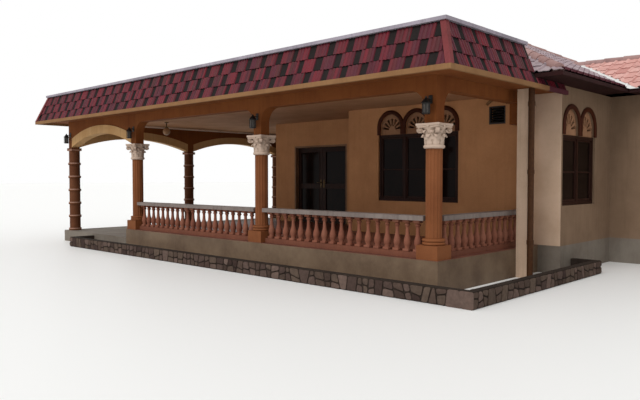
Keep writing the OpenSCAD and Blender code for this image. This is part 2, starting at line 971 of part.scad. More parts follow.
// Fluted shaft on a square plinth with two round mouldings
module fluted_shaft(h) {
    r = shaft_d / 2;
    moulding_r = base_moulding_r;
    plinth_h = base_h - 4 * moulding_r;
    plinth_w = shaft_d + 5 * moulding_r;
    translate([-plinth_w / 2, -plinth_w / 2, 0])
        cube([plinth_w, plinth_w, plinth_h]);
    translate([0, 0, plinth_h])
        rotate_extrude()
            union() {
                square([r + moulding_r, 4 * moulding_r]);
                for (z = [moulding_r, 3 * moulding_r])
                    translate([r + moulding_r, z])
                        circle(moulding_r);
            }
    translate([0, 0, base_h])
        linear_extrude(h - base_h)
            difference() {
                circle(r);
                for (i = [0 : flutes - 1])
                    rotate(i * 360 / flutes)
                        translate([r + 9, 0])
                            circle(18);
            }
}

// Porch columns: round, with bands all the way up and a square block on top
module banded_columns() {
    block_h = 70;
    color("#8b5a48")
        for (p = banded_places)
            translate([p[0], p[1], porch_z])
                union() {
                    cylinder(d = banded_d, h = capital_top - porch_z - block_h);
                    for (z = [0 : ring_pitch : capital_top - porch_z - block_h - ring_h])
                        translate([0, 0, z])
                            cylinder(d = banded_d + 2 * ring_out, h = ring_h);
                    w = banded_d;
                    translate([-w / 2, -w / 2, capital_top - porch_z - block_h])
                        cube([w, w, block_h]);
                }
}

// Balustrade

// Bays of the balustrade: start, end, turn
post_half = (shaft_d + 5 * base_moulding_r) / 2;
bays = [
    [[col_x[1] + post_half, row_y[0]], mid_bay - 2 * post_half, 0],
    [[col_x[2] + post_half, row_y[0]], right_bay - 2 * post_half, 0],
    [[col_x[3], row_y[0] + post_half], room_front - pilaster_out - post_half, 90]
];

module in_bay(bay) {
    translate([bay[0][0], bay[0][1], 0])
        rotate([0, 0, bay[2]])
            children();
}

// Handrails, with round cuts where they meet a shaft
module handrails() {
    color(white_colour)
        difference() {
            for (bay = bays)
                in_bay(bay)
                    block([shaft_d / 2 - post_half, -rail_w / 2, rail_top - rail_h],
                          [bay[1] + (bay[2] == 0 ? post_half - shaft_d / 2 : 0),
                           rail_w / 2, rail_top]);
            for (p = fluted_columns)
                translate([p[0], p[1], rail_top - rail_h - eps])
                    cylinder(d = shaft_d, h = rail_h + 2 * eps);
        }
}

module foot_rails() {
    color("#8b5a48")
        for (bay = bays)
            in_bay(bay)
                block([rail_joint, -foot_rail_w / 2, floor_z],
                      [bay[1] - rail_joint, foot_rail_w / 2, floor_z + foot_rail_h]);
}

module balusters() {
    z = floor_z + foot_rail_h;
    color("#9a6350")
        for (bay = bays) {
            n = floor(bay[1] / baluster_pitch);
            gap = bay[1] / n;
            for (i = [0 : n - 1])
                in_bay(bay)
                    translate([(i + 0.5) * gap, 0, z])
                        baluster(rail_top - rail_h - z);
        }
}

// A turned vase: foot block, belly, neck and cap
module baluster(h) {
    block_w = baluster_d * 0.9;
    block_h = 40;
    turned_h = h - 2 * block_h;
    neck_r = baluster_d * 0.22;
    for (z = [0, h - block_h])
        translate([-block_w / 2, -block_w / 2, z])
            cube([block_w, block_w, block_h]);
    rotate_extrude($fn = 24)
        polygon(concat(
            [[0, block_h], [baluster_d * 0.36, block_h]],
            [for (p = vase_profile(turned_h, neck_r, baluster_d / 2)) [p[0], p[1] + block_h]],
            [[baluster_d * 0.36, h - block_h], [0, h - block_h]]
        ));
}

// Radius and height along the vase, from its foot up
function vase_profile(h, neck, belly) = [
    [belly * 0.66, h * 0.05],
    [belly * 0.9, h * 0.12],
    [belly, h * 0.22],
    [belly * 0.94, h * 0.32],
    [belly * 0.76, h * 0.43],
    [neck * 1.25, h * 0.56],
    [neck, h * 0.7],
    [neck * 1.06, h * 0.84],
    [neck * 1.6, h * 0.88],
    [neck * 1.6, h * 0.93],
    [neck * 1.25, h * 0.95]
];

// Windows and vent

// Timber frame round the lights of a window
module window_frame(w) {
    half = w[3] * w[4] / 2;
    light = light_w(w);
    at_window(w)
        upright((wall_t - frame_d) / 2, (wall_t + frame_d) / 2)
            difference() {
                translate([-half, sill_z])
                    square([2 * half, w[5] - sill_z]);
                for (i = [0 : w[3] - 1])
                    translate([light_x(w, i), sill_z + frame_w])
                        square([light, w[5] - sill_z - 2 * frame_w]);
            }
}

// Clear width of one light, and its left edge
function light_w(w) = (w[3] * w[4] - (w[3] + 1) * frame_w) / w[3];
function light_x(w, i) = -w[3] * w[4] / 2 + frame_w + i * (light_w(w) + frame_w);

module window_frames() {
    color(dark_timber)
        for (w = all_windows)
            window_frame(w);
}

module window_glass() {
    color([0.2, 0.24, 0.25, 0.5])
        for (w = all_windows)
            at_window(w)
                for (i = [0 : w[3] - 1])
                    block([light_x(w, i), (wall_t - glass_t) / 2, sill_z + frame_w],
                          [light_x(w, i) + light_w(w), (wall_t + glass_t) / 2,
                           w[5] - frame_w]);
}

// Cast fans that fill the arched heads, with slots that let air through
fan_t = 60;
fan_rays = 7;
module window_fans() {
    color("#e6d5b0")
        for (w = all_windows, i = [0 : w[3] - 1])
            at_window(w)
                translate([(i + 0.5 - w[3] / 2) * w[4], 0, w[5]])
                    upright((wall_t - fan_t) / 2, (wall_t + fan_t) / 2)
                        fan_outline(w[4] / 2 - moulding_w);
}

module fan_outline(half) {
    hub = half * 0.32;
    rim = half - 35;
    step = 180 / fan_rays;
    difference() {
        arched_head(half, 0);
        for (i = [0 : fan_rays - 1])
            translate([0, stilt_h * 0.6])
                rotate((i + 0.5) * step)
                    polygon([[hub, -hub * 0.14], [rim, -rim * 0.12],
                             [rim, rim * 0.12], [hub, hub * 0.14]]);
    }
}

// Mouldings round the arched heads, joined where they meet
module window_arches() {
    color("#4a2a1c")
        for (w = all_windows)
            at_window(w)
                upright(-moulding_out, 0)
                    for (i = [0 : w[3] - 1])
                        translate([(i + 0.5 - w[3] / 2) * w[4], w[5]])
                            difference() {
                                arched_head(w[4] / 2, 0);
                                arched_head(w[4] / 2 - moulding_w, eps);
                            }
}

vent_x = house_x1 - vent_in;
module vent_hole() {
    block([vent_x - vent_w / 2, room_y0 - eps, vent_z - vent_w / 2],
          [vent_x + vent_w / 2, room_y0 + wall_t + eps, vent_z + vent_w / 2]);
}

// Square vent with sloping blades in a thin frame
module wall_vent() {
    rim = 25;
    blades = 6;
    clear = vent_w - 2 * rim;
    pitch_z = clear / blades;
    color("#2d2a28") {
        difference() {
            block([vent_x - vent_w / 2, room_y0, vent_z - vent_w / 2],
                  [vent_x + vent_w / 2, room_y0 + 60, vent_z + vent_w / 2]);
            block([vent_x - clear / 2, room_y0 - eps, vent_z - clear / 2],
                  [vent_x + clear / 2, room_y0 + 60 + eps, vent_z + clear / 2]);
        }
        for (i = [0 : blades - 1])
            translate([vent_x - clear / 2, room_y0 + 8, vent_z - clear / 2 + i * pitch_z])
                rotate([35, 0, 0])
                    cube([clear, 44, 6]);
    }
}

// Doors

// Lining of the doorway with the fixed halves of the hinges
module door_frame() {
    y0 = door_y0;
    y1 = door_y0 + wall_t;
    color("#cfc3b2") {
        difference() {
            block([door_x0, y0, floor_z], [door_x1, y1, door_top]);
            block([door_x0 + door_lining, y0 - eps, floor_z - eps],
                  [door_x1 - door_lining, y1 + eps, door_top - door_lining]);
        }
        for (side = [0, 1])
            at_hinge(side)
                for (z = hinge_heights())
                    translate([0, 0, z]) {
                        translate([0, 0, -pin_h])
                            cylinder(r = pin_r, h = pin_h);
                        block([-22, -pin_out, -pin_h], [-leaf_gap / 2, -pin_out + plate_t, 0]);
                    }
    }
}

function hinge_heights() = [
    floor_z + hinge_in, floor_z + door_h / 2, door_top - door_lining - hinge_in
];

// Moves to a hinge line: x away from the jamb, y into the house, mirrored on the right
module at_hinge(side) {
    x = side == 0 ? door_x0 + door_lining + leaf_gap / 2
                  : door_x1 - door_lining - leaf_gap / 2;
    translate([x, door_y0 + wall_t + pin_out, 0])
        mirror([side, 0, 0])
            children();
}

// One door leaf: stiles, rails and the lifting halves of its hinges
module door_leaf(side) {
    x0 = leaf_gap / 2;
    z0 = floor_z + leaf_gap;
    color(dark_timber)
        at_hinge(side) {
            difference() {
                block([x0, -pin_out - leaf_t, z0], [x0 + leaf_w, -pin_out, z0 + leaf_h]);
                leaf_panes(x0, z0, -pin_out - leaf_t - eps, -pin_out + eps);
            }
            for (z = hinge_heights())
                translate([0, 0, z + hinge_gap]) {
                    cylinder(r = pin_r, h = pin_h);
                    block([leaf_gap / 2, -pin_out, 0], [28, -pin_out + plate_t, pin_h]);
                }
        }
}

// Two glazed fields of a leaf, over and under the middle rail
module leaf_panes(x0, z0, y0, y1) {
    mid = z0 + mid_rail;
    for (z = [[z0 + 1.6 * stile_w, mid - stile_w / 2], [mid + stile_w / 2, z0 + leaf_h - stile_w]])
        block([x0 + stile_w, y0, z[0]], [x0 + leaf_w - stile_w, y1, z[1]]);
}

module door_pane(side) {
    y = -pin_out - leaf_t / 2;
    color([0.15, 0.17, 0.18, 0.6])
        at_hinge(side)
            leaf_panes(leaf_gap / 2, floor_z + leaf_gap, y - glass_t / 2, y + glass_t / 2);
}

module door_leaf_left() {
    door_leaf(0);
}

module door_leaf_right() {
    door_leaf(1);
}

module door_pane_left() {
    door_pane(0);
}

module door_pane_right() {
    door_pane(1);
}

// Lights

// Lanterns on short arms at the front stubs
module lanterns() {
    z = beam_z - lantern_drop;
    out = stub_w / 2 + lantern_arm;
    color("#26221f")
        for (x = col_x)
            translate([x, row_y[0] - out, z]) {
                cylinder(d = lantern_d, h = lantern_h * 0.6);
                translate([0, 0, lantern_h * 0.6])
                    cylinder(d1 = lantern_d + 30, d2 = 30, h = lantern_h * 0.3);
                translate([0, 0, -20])
                    cylinder(d1 = 40, d2 = lantern_d, h = 20);
                translate([0, 0, lantern_h * 0.85])
                    rotate([-90, 0, 0])
                        cylinder(d = 20, h = out - stub_w / 2);
            }
}

// Globe under the middle of the porch's front bay
module ceiling_lamp() {
    drop = 240;
    color("#eeeae0")
        translate([(col_x[0] + col_x[1]) / 2, (row_y[0] + row_y[1]) / 2, 0]) {
            translate([0, 0, slab_z - drop])
                sphere(d = globe_d);
            translate([0, 0, slab_z - drop])
                cylinder(d = 30, h = drop);
            translate([0, 0, slab_z - 25])
                cylinder(d = 110, h = 25);
        }
}

house_floor();
veranda_floor();
porch_floor();
planter_walls();
door_side_walls();
door_head_wall();
recess_wall();
front_room_wall();
right_walls();
wing_side_walls();
wing_end_wall();
back_wall();
left_wall();
wall_pilaster();
house_ceiling();
veranda_roof();
main_roof();
ridge_caps();
tiled_band();
band_corner_caps();
parapet_coping();
eaves_lining();
front_beam();
side_beam();
porch_beams();
arch_bands();
column_stubs();
column_capitals();
column_shafts();
banded_columns();
handrails();
foot_rails();
balusters();
window_frames();
window_glass();
window_fans();
window_arches();
wall_vent();
door_frame();
door_leaf_left();
door_leaf_right();
door_pane_left();
door_pane_right();
lanterns();
ceiling_lamp();
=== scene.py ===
import math
import random

import bmesh
import bpy
from mathutils import Matrix, Vector


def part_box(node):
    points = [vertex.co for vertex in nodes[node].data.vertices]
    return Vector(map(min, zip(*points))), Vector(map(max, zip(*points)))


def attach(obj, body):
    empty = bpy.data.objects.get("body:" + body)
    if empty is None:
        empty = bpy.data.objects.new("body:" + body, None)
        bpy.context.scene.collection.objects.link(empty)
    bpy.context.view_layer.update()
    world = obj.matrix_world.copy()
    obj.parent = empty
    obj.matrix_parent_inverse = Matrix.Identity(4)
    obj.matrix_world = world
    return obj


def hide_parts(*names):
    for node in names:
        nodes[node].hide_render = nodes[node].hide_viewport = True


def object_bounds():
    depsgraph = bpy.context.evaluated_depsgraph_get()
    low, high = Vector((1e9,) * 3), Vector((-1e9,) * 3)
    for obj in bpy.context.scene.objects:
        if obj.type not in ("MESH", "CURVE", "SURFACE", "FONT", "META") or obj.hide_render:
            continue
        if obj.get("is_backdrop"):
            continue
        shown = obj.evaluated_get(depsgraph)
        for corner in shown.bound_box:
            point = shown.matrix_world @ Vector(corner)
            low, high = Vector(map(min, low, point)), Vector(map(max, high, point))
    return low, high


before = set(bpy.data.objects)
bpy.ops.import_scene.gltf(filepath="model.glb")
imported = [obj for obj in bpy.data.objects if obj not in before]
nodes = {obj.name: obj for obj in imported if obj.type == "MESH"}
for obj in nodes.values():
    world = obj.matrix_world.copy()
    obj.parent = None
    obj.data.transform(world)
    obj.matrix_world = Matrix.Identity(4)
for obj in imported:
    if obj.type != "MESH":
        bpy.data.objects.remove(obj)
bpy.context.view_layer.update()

# Floors
# Cast cement slabs down to the ground. The veranda is paved with square clay tiles bedded in
# mortar; the porch and the rooms have a trowelled cement finish.


def linear(text):
    """An sRGB hex colour such as c8a37c as linear red, green, blue and alpha."""
    parts = [int(text[i : i + 2], 16) / 255 for i in (0, 2, 4)]
    return [p / 12.92 if p <= 0.04045 else ((p + 0.055) / 1.055) ** 2.4 for p in parts] + [1.0]


def node(tree, kind, inputs=None, stops=None, **settings):
    """Add one shader node: its options, the values or links of its sockets, its ramp's stops."""
    made = tree.nodes.new(kind)
    for name, value in settings.items():
        setattr(made, name, value)
    for socket, value in (inputs or {}).items():
        if isinstance(value, bpy.types.NodeSocket):
            tree.links.new(value, made.inputs[socket])
        else:
            made.inputs[socket].default_value = value
    if stops:
        ramp = made.color_ramp
        while len(ramp.elements) < len(stops):
            ramp.elements.new(1.0)
        for element, (position, colour) in zip(ramp.elements, stops):
            element.position = position
            element.color = linear(colour)
    return made


def new_finish(name, roughness, metallic=0.0):
    """A new material, with its node tree, its shader and its Object coordinates."""
    finish = bpy.data.materials.new(name)
    finish.use_nodes = True
    tree = finish.node_tree
    shader = tree.nodes["Principled BSDF"]
    shader.inputs["Roughness"].default_value = roughness
    shader.inputs["Metallic"].default_value = metallic
    # Chalky, weathered surfaces reflect little of the pale sky
    shader.inputs["Specular IOR Level"].default_value = 0.5 if metallic else 0.12
    place = node(tree, "ShaderNodeTexCoord").outputs["Object"]
    return finish, tree, shader, place


def dress(finish, *names):
    """Give every slot of some CAD nodes a finish."""
    for name in names:
        for slot in nodes[name].material_slots:
            slot.material = finish


def masonry_paint(name, clean, faded, grime, streaks=0.35, roughness=0.85, grain=70.0):
    """Paint on trowelled sand-cement render: faded patches, rain streaks and a sandy grain."""
    finish, tree, shader, place = new_finish(name, roughness)
    # Faded patches about 0.6 m across
    patch = node(tree, "ShaderNodeTexNoise",
                 {"Vector": place, "Scale": 1.6, "Detail": 5.0, "Roughness": 0.62})
    base = node(tree, "ShaderNodeValToRGB", {"Fac": patch.outputs["Fac"]},
                stops=[(0.36, clean), (0.66, faded)])
    # Rain streaks about 60 mm wide that run down the face
    fall = node(tree, "ShaderNodeMapping", {"Vector": place, "Scale": (16.0, 16.0, 1.1)})
    streak = node(tree, "ShaderNodeTexNoise",
                  {"Vector": fall.outputs["Vector"], "Scale": 1.0, "Detail": 4.0})
    wet = node(tree, "ShaderNodeMapRange",
               {"Value": streak.outputs["Fac"], "From Min": 0.5, "From Max": 0.8,
                "To Max": streaks})
    worn = node(tree, "ShaderNodeMix",
                {0: wet.outputs["Result"], 6: base.outputs["Color"], 7: linear(grime)},
                data_type="RGBA")
    # Sand grain about 15 mm, coarser than the real one so that it shows
    sand = node(tree, "ShaderNodeTexNoise",
                {"Vector": place, "Scale": grain, "Detail": 3.0, "Roughness": 0.7})
    speck = node(tree, "ShaderNodeMapRange",
                 {"Value": sand.outputs["Fac"], "To Min": 0.86, "To Max": 1.14})
    shade = node(tree, "ShaderNodeMix",
                 {0: 1.0, 6: worn.outputs[2], 7: speck.outputs["Result"]},
                 data_type="RGBA", blend_type="MULTIPLY")
    relief = node(tree, "ShaderNodeBump",
                  {"Height": sand.outputs["Fac"], "Strength": 0.35, "Distance": 0.004})
    tree.links.new(shade.outputs[2], shader.inputs["Base Color"])
    tree.links.new(relief.outputs["Normal"], shader.inputs["Normal"])
    return finish


def square_tiles(name, light, dark, joint, pitch, joint_width):
    """Square clay tiles in straight rows, each a little lighter or darker, with mortar joints."""
    finish, tree, shader, place = new_finish(name, 0.45)
    laid = node(tree, "ShaderNodeTexBrick",
                {"Vector": place, "Color1": linear(light), "Color2": linear(dark),
                 "Mortar": linear(joint), "Scale": 1.0, "Mortar Size": joint_width,
                 "Mortar Smooth": 0.2, "Bias": 0.0, "Brick Width": pitch, "Row Height": pitch},
                offset=0.0)
    # Foot wear in patches about 0.2 m across
    wear = node(tree, "ShaderNodeTexNoise", {"Vector": place, "Scale": 5.0, "Detail": 6.0})
    dull = node(tree, "ShaderNodeMapRange",
                {"Value": wear.outputs["Fac"], "To Min": 0.75, "To Max": 1.2})
    colour = node(tree, "ShaderNodeMix",
                  {0: 1.0, 6: laid.outputs["Color"], 7: dull.outputs["Result"]},
                  data_type="RGBA", blend_type="MULTIPLY")
    joints = node(tree, "ShaderNodeBump",
                  {"Height": laid.outputs["Fac"], "Strength": 0.6, "Distance": 0.003},
                  invert=True)
    tree.links.new(colour.outputs[2], shader.inputs["Base Color"])
    tree.links.new(joints.outputs["Normal"], shader.inputs["Normal"])
    return finish


# Trowelled cement: greyish brown, dusty, with darker damp patches
floor_cement = masonry_paint("trowelled_cement", "7d756b", "6c6258", "4c453d", 0.25, 0.7)
dress(floor_cement, "house_floor", "porch_floor")
# Clay floor tiles 300 mm square with 6 mm joints: dull red, slightly polished by feet
veranda_tiles = square_tiles("clay_floor_tile", "74483a", "61382e", "4d443e", 0.3, 0.006)


def past_level(finish, level, light, dark, over=False, axis="Z"):
    """Change a finish to a second, patchy colour under a level on an axis, or over it."""
    tree = finish.node_tree
    shader = tree.nodes["Principled BSDF"]
    first = shader.inputs["Base Color"].links[0].from_socket
    place = next(n for n in tree.nodes if n.type == "TEX_COORD").outputs["Object"]
    apart = node(tree, "ShaderNodeSeparateXYZ", {"Vector": place})
    part = node(tree, "ShaderNodeMath", {0: apart.outputs[axis], 1: level},
                operation="GREATER_THAN" if over else "LESS_THAN")
    # Patches about 0.5 m across
    patch = node(tree, "ShaderNodeTexNoise",
                 {"Vector": place, "Scale": 1.8, "Detail": 7.0, "Roughness": 0.65})
    second = node(tree, "ShaderNodeValToRGB", {"Fac": patch.outputs["Fac"]},
                  stops=[(0.35, light), (0.65, dark)])
    both = node(tree, "ShaderNodeMix",
                {0: part.outputs[0], 6: first, 7: second.outputs["Color"]}, data_type="RGBA")
    tree.links.new(both.outputs[2], shader.inputs["Base Color"])
    return finish


# The slab's edge, from 4 mm under the floor down, is plain cement, brown with splashed soil
veranda_top = 0.48
dress(past_level(veranda_tiles, veranda_top - 0.004, "75624f", "5c4a3b"), "veranda_floor")

# Planter walls
# Low walls of rubble stone bedded in dark mortar, faced with flat irregular stones with wide
# raked joints. The mortar core stands 18 mm behind the faces of the stones.

stone_out = 0.018
joint_half = 0.011
wall_depth = 0.15
wall_height = 0.23
# Where the low wall ends against the porch slab, and against the house
porch_edge_y, house_right_x = -4.86, 4.51


def add_piece(bm, name, finish, replaced=(), body="house", smooth=None):
    """Turn a bmesh into a piece at the origin that rides on a body."""
    mesh = bpy.data.meshes.new(name)
    bm.to_mesh(mesh)
    bm.free()
    mesh.materials.append(finish)
    if smooth:
        mesh.shade_smooth()
        mesh.set_sharp_from_angle(angle=math.radians(smooth))
    piece = bpy.data.objects.new(name, mesh)
    bpy.context.scene.collection.objects.link(piece)
    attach(piece, body)
    if replaced:
        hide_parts(*replaced)
    return piece


def once(parts):
    """Each part of a mesh once, in an order that is the same on every run."""
    return list(dict.fromkeys(parts))


def add_block(bm, low, high, bevel=0.0):
    """Add a block between two corners, its edges rounded by a bevel."""
    size = [high[i] - low[i] for i in range(3)]
    middle = [(high[i] + low[i]) / 2 for i in range(3)]
    made = bmesh.ops.create_cube(
        bm, size=1.0, matrix=Matrix.Translation(middle) @ Matrix.Diagonal((*size, 1.0)))
    if bevel:
        edges = once(e for v in made["verts"] for e in v.link_edges)
        bmesh.ops.bevel(bm, geom=edges, offset=bevel, segments=2, profile=0.5,
                        affect="EDGES", material=-1)


def pattern_mesh(bm, name):
    """Keep a bmesh as a mesh that is laid many times."""
    mesh = bpy.data.meshes.new(name)
    bm.to_mesh(mesh)
    bm.free()
    return mesh


def lay(bm, pattern, place):
    """Lay one copy of a pattern mesh."""
    copy = pattern.copy()
    copy.transform(place)
    bm.from_mesh(copy)
    bpy.data.meshes.remove(copy)


def join(bm, part, place=Matrix()):
    """Put a part that is used once in its place in a piece."""
    mesh = pattern_mesh(part, "part")
    lay(bm, mesh, place)
    bpy.data.meshes.remove(mesh)


def stone_facing(length, height, seed):
    """Irregular flat stones over a strip from the origin along X, up Z, facing -Y."""
    bm = bmesh.new()
    pick = random.Random(seed)
    narrow, broad, slant = 0.1, 0.21, 0.035
    cut = [0.0]
    while cut[-1] < length - 0.2:
        cut.append(cut[-1] + pick.uniform(narrow, broad))
    cut.append(length)
    lean = [0.0] + [pick.uniform(-slant, slant) for _ in cut[1:-1]] + [0.0]
    faces = []
    for i in range(len(cut) - 1):
        corners = [(cut[i] - lean[i], 0, 0), (cut[i + 1] - lean[i + 1], 0, 0),
                   (cut[i + 1] + lean[i + 1], 0, height), (cut[i] + lean[i], 0, height)]
        faces.append(bm.faces.new([bm.verts.new(c) for c in corners]))
        # Three strips in four hold two stones, one over the other
        if pick.random() < 0.75:
            level = height * pick.uniform(0.35, 0.65)
            tilt = Vector((pick.uniform(-0.35, 0.35), 0, 1))
            middle = Vector(((cut[i] + cut[i + 1]) / 2, 0, level))
            face = faces.pop()
            halves = bmesh.ops.bisect_plane(
                bm, geom=[face, *face.edges, *face.verts], plane_co=middle, plane_no=tilt)
            split = [e for e in halves["geom_cut"] if isinstance(e, bmesh.types.BMEdge)]
            faces += once(f for e in split for f in e.link_faces)
            bmesh.ops.split_edges(bm, edges=split)
    rims = bmesh.ops.inset_individual(bm, faces=faces, thickness=joint_half,
                                      use_even_offset=True)
    bmesh.ops.delete(bm, geom=rims["faces"], context="FACES")
    bmesh.ops.bevel(bm, geom=bm.verts, offset=0.024, segments=2, profile=0.5,
                    affect="VERTICES", material=-1)
    raised = bmesh.ops.extrude_face_region(bm, geom=bm.faces)
    tops = [g for g in raised["geom"] if isinstance(g, bmesh.types.BMFace)]
    corners = [g for g in raised["geom"] if isinstance(g, bmesh.types.BMVert)]
    for corner in corners:
        corner.co.y -= stone_out * pick.uniform(0.55, 0.9)
    # Poke gives the tops' new middles in no fixed order, so they are sorted along the wall
    domes = bmesh.ops.poke(bm, faces=tops)
    for corner in sorted(domes["verts"], key=lambda v: (v.co.x, v.co.z)):
        corner.co.y = -stone_out * pick.uniform(0.9, 0.98)
    return bm


low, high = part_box("planter_walls")
core = bmesh.new()
inner = wall_depth - stone_out
for corner, opposite in (
        ((low[0] + stone_out, low[1] + stone_out), (high[0] - stone_out, low[1] + inner)),
        ((low[0] + stone_out, low[1] + inner), (low[0] + inner, porch_edge_y)),
        ((high[0] - inner, low[1] + inner), (high[0] - stone_out, high[1] - stone_out)),
        ((house_right_x, high[1] - inner), (high[0] - inner, high[1] - stone_out))):
    add_block(core, (*corner, 0), (*opposite, wall_height), 0.006)
# Dark mortar: brown black, damp and sandy
mortar = masonry_paint("dark_mortar", "2b231e", "352c26", "1b1613", 0.4, 0.95)
add_piece(core, "planter_core", mortar, ["planter_walls"])

# Faced sides as corner, turn and length: the outer faces, then the two seen over the beds
stones = bmesh.new()
bed_x, bed_y = high[0] - wall_depth, high[1] - wall_depth
runs = [((low[0], low[1]), 0.0, high[0] - low[0]),
        ((high[0], low[1]), math.pi / 2, high[1] - low[1]),
        ((low[0], porch_edge_y), -math.pi / 2, porch_edge_y - low[1]),
        ((bed_x, low[1] + wall_depth), math.pi, high[0] - low[0] - 2 * wall_depth),
        ((bed_x, bed_y), -math.pi / 2, high[1] - low[1] - 2 * wall_depth)]
for number, (corner, turn, length) in enumerate(runs):
    facing = stone_facing(length, wall_height - 0.004, 40 + number)
    side = Matrix.Translation((*corner, 0)) @ Matrix.Rotation(turn, 4, "Z")
    join(stones, facing, side @ Matrix.Translation((0, stone_out, 0)))


def island_tints(name, tints, roughness, spread=0.25, scale=18.0, bump=0.003):
    """Separate laid pieces, each with its own tint, mottled and a little uneven on its face."""
    finish, tree, shader, place = new_finish(name, roughness)
    own = node(tree, "ShaderNodeNewGeometry").outputs["Random Per Island"]
    steps = [(i / max(1, len(tints) - 1), tint) for i, tint in enumerate(tints)]
    tint = node(tree, "ShaderNodeValToRGB", {"Fac": own}, stops=steps)
    mottle = node(tree, "ShaderNodeTexNoise",
                  {"Vector": place, "Scale": scale, "Detail": 5.0, "Roughness": 0.65})
    dull = node(tree, "ShaderNodeMapRange",
                {"Value": mottle.outputs["Fac"], "From Min": 0.25, "From Max": 0.75,
                 "To Min": 1.0 - spread, "To Max": 1.0 + spread})
    colour = node(tree, "ShaderNodeMix",
                  {0: 1.0, 6: tint.outputs["Color"], 7: dull.outputs["Result"]},
                  data_type="RGBA", blend_type="MULTIPLY")
    relief = node(tree, "ShaderNodeBump",
                  {"Height": mottle.outputs["Fac"], "Strength": 0.5, "Distance": bump})
    tree.links.new(colour.outputs[2], shader.inputs["Base Color"])
    tree.links.new(relief.outputs["Normal"], shader.inputs["Normal"])
    return finish


# Split granite: pinkish grey and brown stones, drawn darker as painted shade of the plants
# over the planter; rough and matt
granite_in_plant_shade = island_tints("split_granite", ["463731", "56483e", "352824", "625149", "493b35"], 0.9)
add_piece(stones, "planter_stones", granite_in_plant_shade)

# Walls
# Brick walls rendered in sand-cement and painted: the outside is a peach cream, faded by sun
# and streaked by rain below the sills and the eaves. The paint is drawn pale where light
# falls, and darker as painted shade under the veranda and on the side walls.

# Where the rain-pipe casing stands on the front wall, and the line of that wall's face
casing_x, front_wall_y = 3.8, -1.705
# Under the veranda the paint is drawn a darker, warm matt peach: painted shade, with painted
# warm light bounced off the terracotta
sheltered_paint = masonry_paint("peach_wall_paint", "bd895f", "ae7c55", "825e3e", 0.15)
# It stops behind the casing, where the wall comes out into the open and is drawn in the pale
# cream that it shows where light falls
past_level(sheltered_paint, casing_x, "ccb19a", "bda28a", over=True, axis="X")
dress(sheltered_paint, "door_side_walls", "door_head_wall", "recess_wall", "front_room_wall")
# In the open, away from the light, the same paint is drawn a darker greyish brown: painted
# shade, streaked by rain
shade_wall_paint = masonry_paint("shaded_wall_paint", "826b57", "77614e", "564434", 0.3)
# The end of the right wall is drawn in the same pale, lit cream as the wall it meets; the
# rest of that wall carries the painted shade
corner_paint = masonry_paint("corner_wall_paint", "826b57", "77614e", "564434", 0.3)
past_level(corner_paint, front_wall_y, "ccb19a", "bda28a", axis="Y")
dress(corner_paint, "right_walls")
dress(shade_wall_paint, "wing_side_walls", "wing_end_wall", "back_wall", "left_wall")
# The casing is in a pale cream, the wall paint as drawn where light falls on it
dress(masonry_paint("casing_paint", "ccb19a", "bda28a", "86705b", 0.3), "wall_pilaster")

# Ceiling and flat roof
# Concrete slabs cast in place over the rooms and the veranda: plastered and painted below,
# finished above with a weathered cement screed.

# Cement screed: grey, very rough, dark with lichen where rain stands
screed = masonry_paint("roof_screed", "7a756e", "67625c", "423f3b", 0.3, 0.95)
# The rooms' ceiling has the same darker colour as the side walls: painted shade
dress(shade_wall_paint, "house_ceiling")
# Matt tan ceiling paint, drawn in the darker warm tone of the walls under the veranda as
# painted shade, up to the middle of the slab, and lichened screed over it
slab_middle = 3.18
ceiling_paint = masonry_paint("tan_ceiling_paint", "b58967", "a47855", "755238", 0.15)
dress(past_level(ceiling_paint, slab_middle, "7a756e", "57534e", over=True), "veranda_roof")

# Main roof
# Hipped roof of timber and boards over the rooms, with a smaller hipped wing on the right,
# covered with interlocking clay tiles laid in straight columns from the eaves up.

eave_z = 3.32
roof_slope = math.atan(0.5)
# Eave corners of the two roofs, and half of each roof's depth
roof_low, roof_high = (-4.64, -2.81), (5.01, 5.44)
wing_low, wing_high = (-1.41, 0.11), (8.01, 3.53)
main_half, wing_half = 4.125, 1.71
tile_wide, tile_show, tile_deep = 0.241, 0.31, 0.036


def hipped_block(bm, low, high, foot, eave):
    """A hipped block over a rectangle: square from its foot to the eave, then sloping."""
    half = (high[1] - low[1]) / 2
    made = bmesh.ops.create_cube(bm, size=1.0)
    for corner in made["verts"]:
        x = high[0] if corner.co.x > 0 else low[0]
        y = high[1] if corner.co.y > 0 else low[1]
        corner.co = (x, y, eave if corner.co.z > 0 else foot)
    top = [f for f in bm.faces if all(v in made["verts"] and v.co.z == eave for v in f.verts)]
    risen = bmesh.ops.extrude_face_region(bm, geom=top)
    bmesh.ops.delete(bm, geom=top, context="FACES_ONLY")
    ridge = [g for g in risen["geom"] if isinstance(g, bmesh.types.BMVert)]
    for corner in ridge:
        inward = low[0] + half if corner.co.x == low[0] else high[0] - half
        corner.co = (inward, low[1] + half, eave + half / 2)
    bmesh.ops.remove_doubles(bm, verts=ridge, dist=0.001)


# The boards stop 30 mm inside the tiles' edge, 15 mm over the undersides of the pans
deck = bmesh.new()
board_in, board_foot = 0.03, 3.232
board_top = eave_z - tile_deep / math.cos(roof_slope) + 0.015
for near, far in ((roof_low, roof_high), (wing_low, wing_high)):
    hipped_block(deck, (near[0] + board_in, near[1] + board_in),
                 (far[0] - board_in, far[1] - board_in), board_foot, board_top)
# Boards in an old dark red stain, drawn nearly black as painted shade under the eaves; dull
shade_black_boards = masonry_paint("dark_eave_boards", "321817", "261212", "170e0c", 0.4, 0.75)
add_piece(deck, "roof_deck", shade_black_boards, ["main_roof"])


def cut_off(bm, point, normal):
    """Cut away what lies past a plane, and close the cut."""
    cut = bmesh.ops.bisect_plane(bm, geom=[*bm.verts, *bm.edges, *bm.faces], dist=1e-5,
                                 plane_co=point, plane_no=normal, clear_outer=True)
    rim = [g for g in cut["geom_cut"] if isinstance(g, bmesh.types.BMEdge)]
    bmesh.ops.holes_fill(bm, edges=rim)


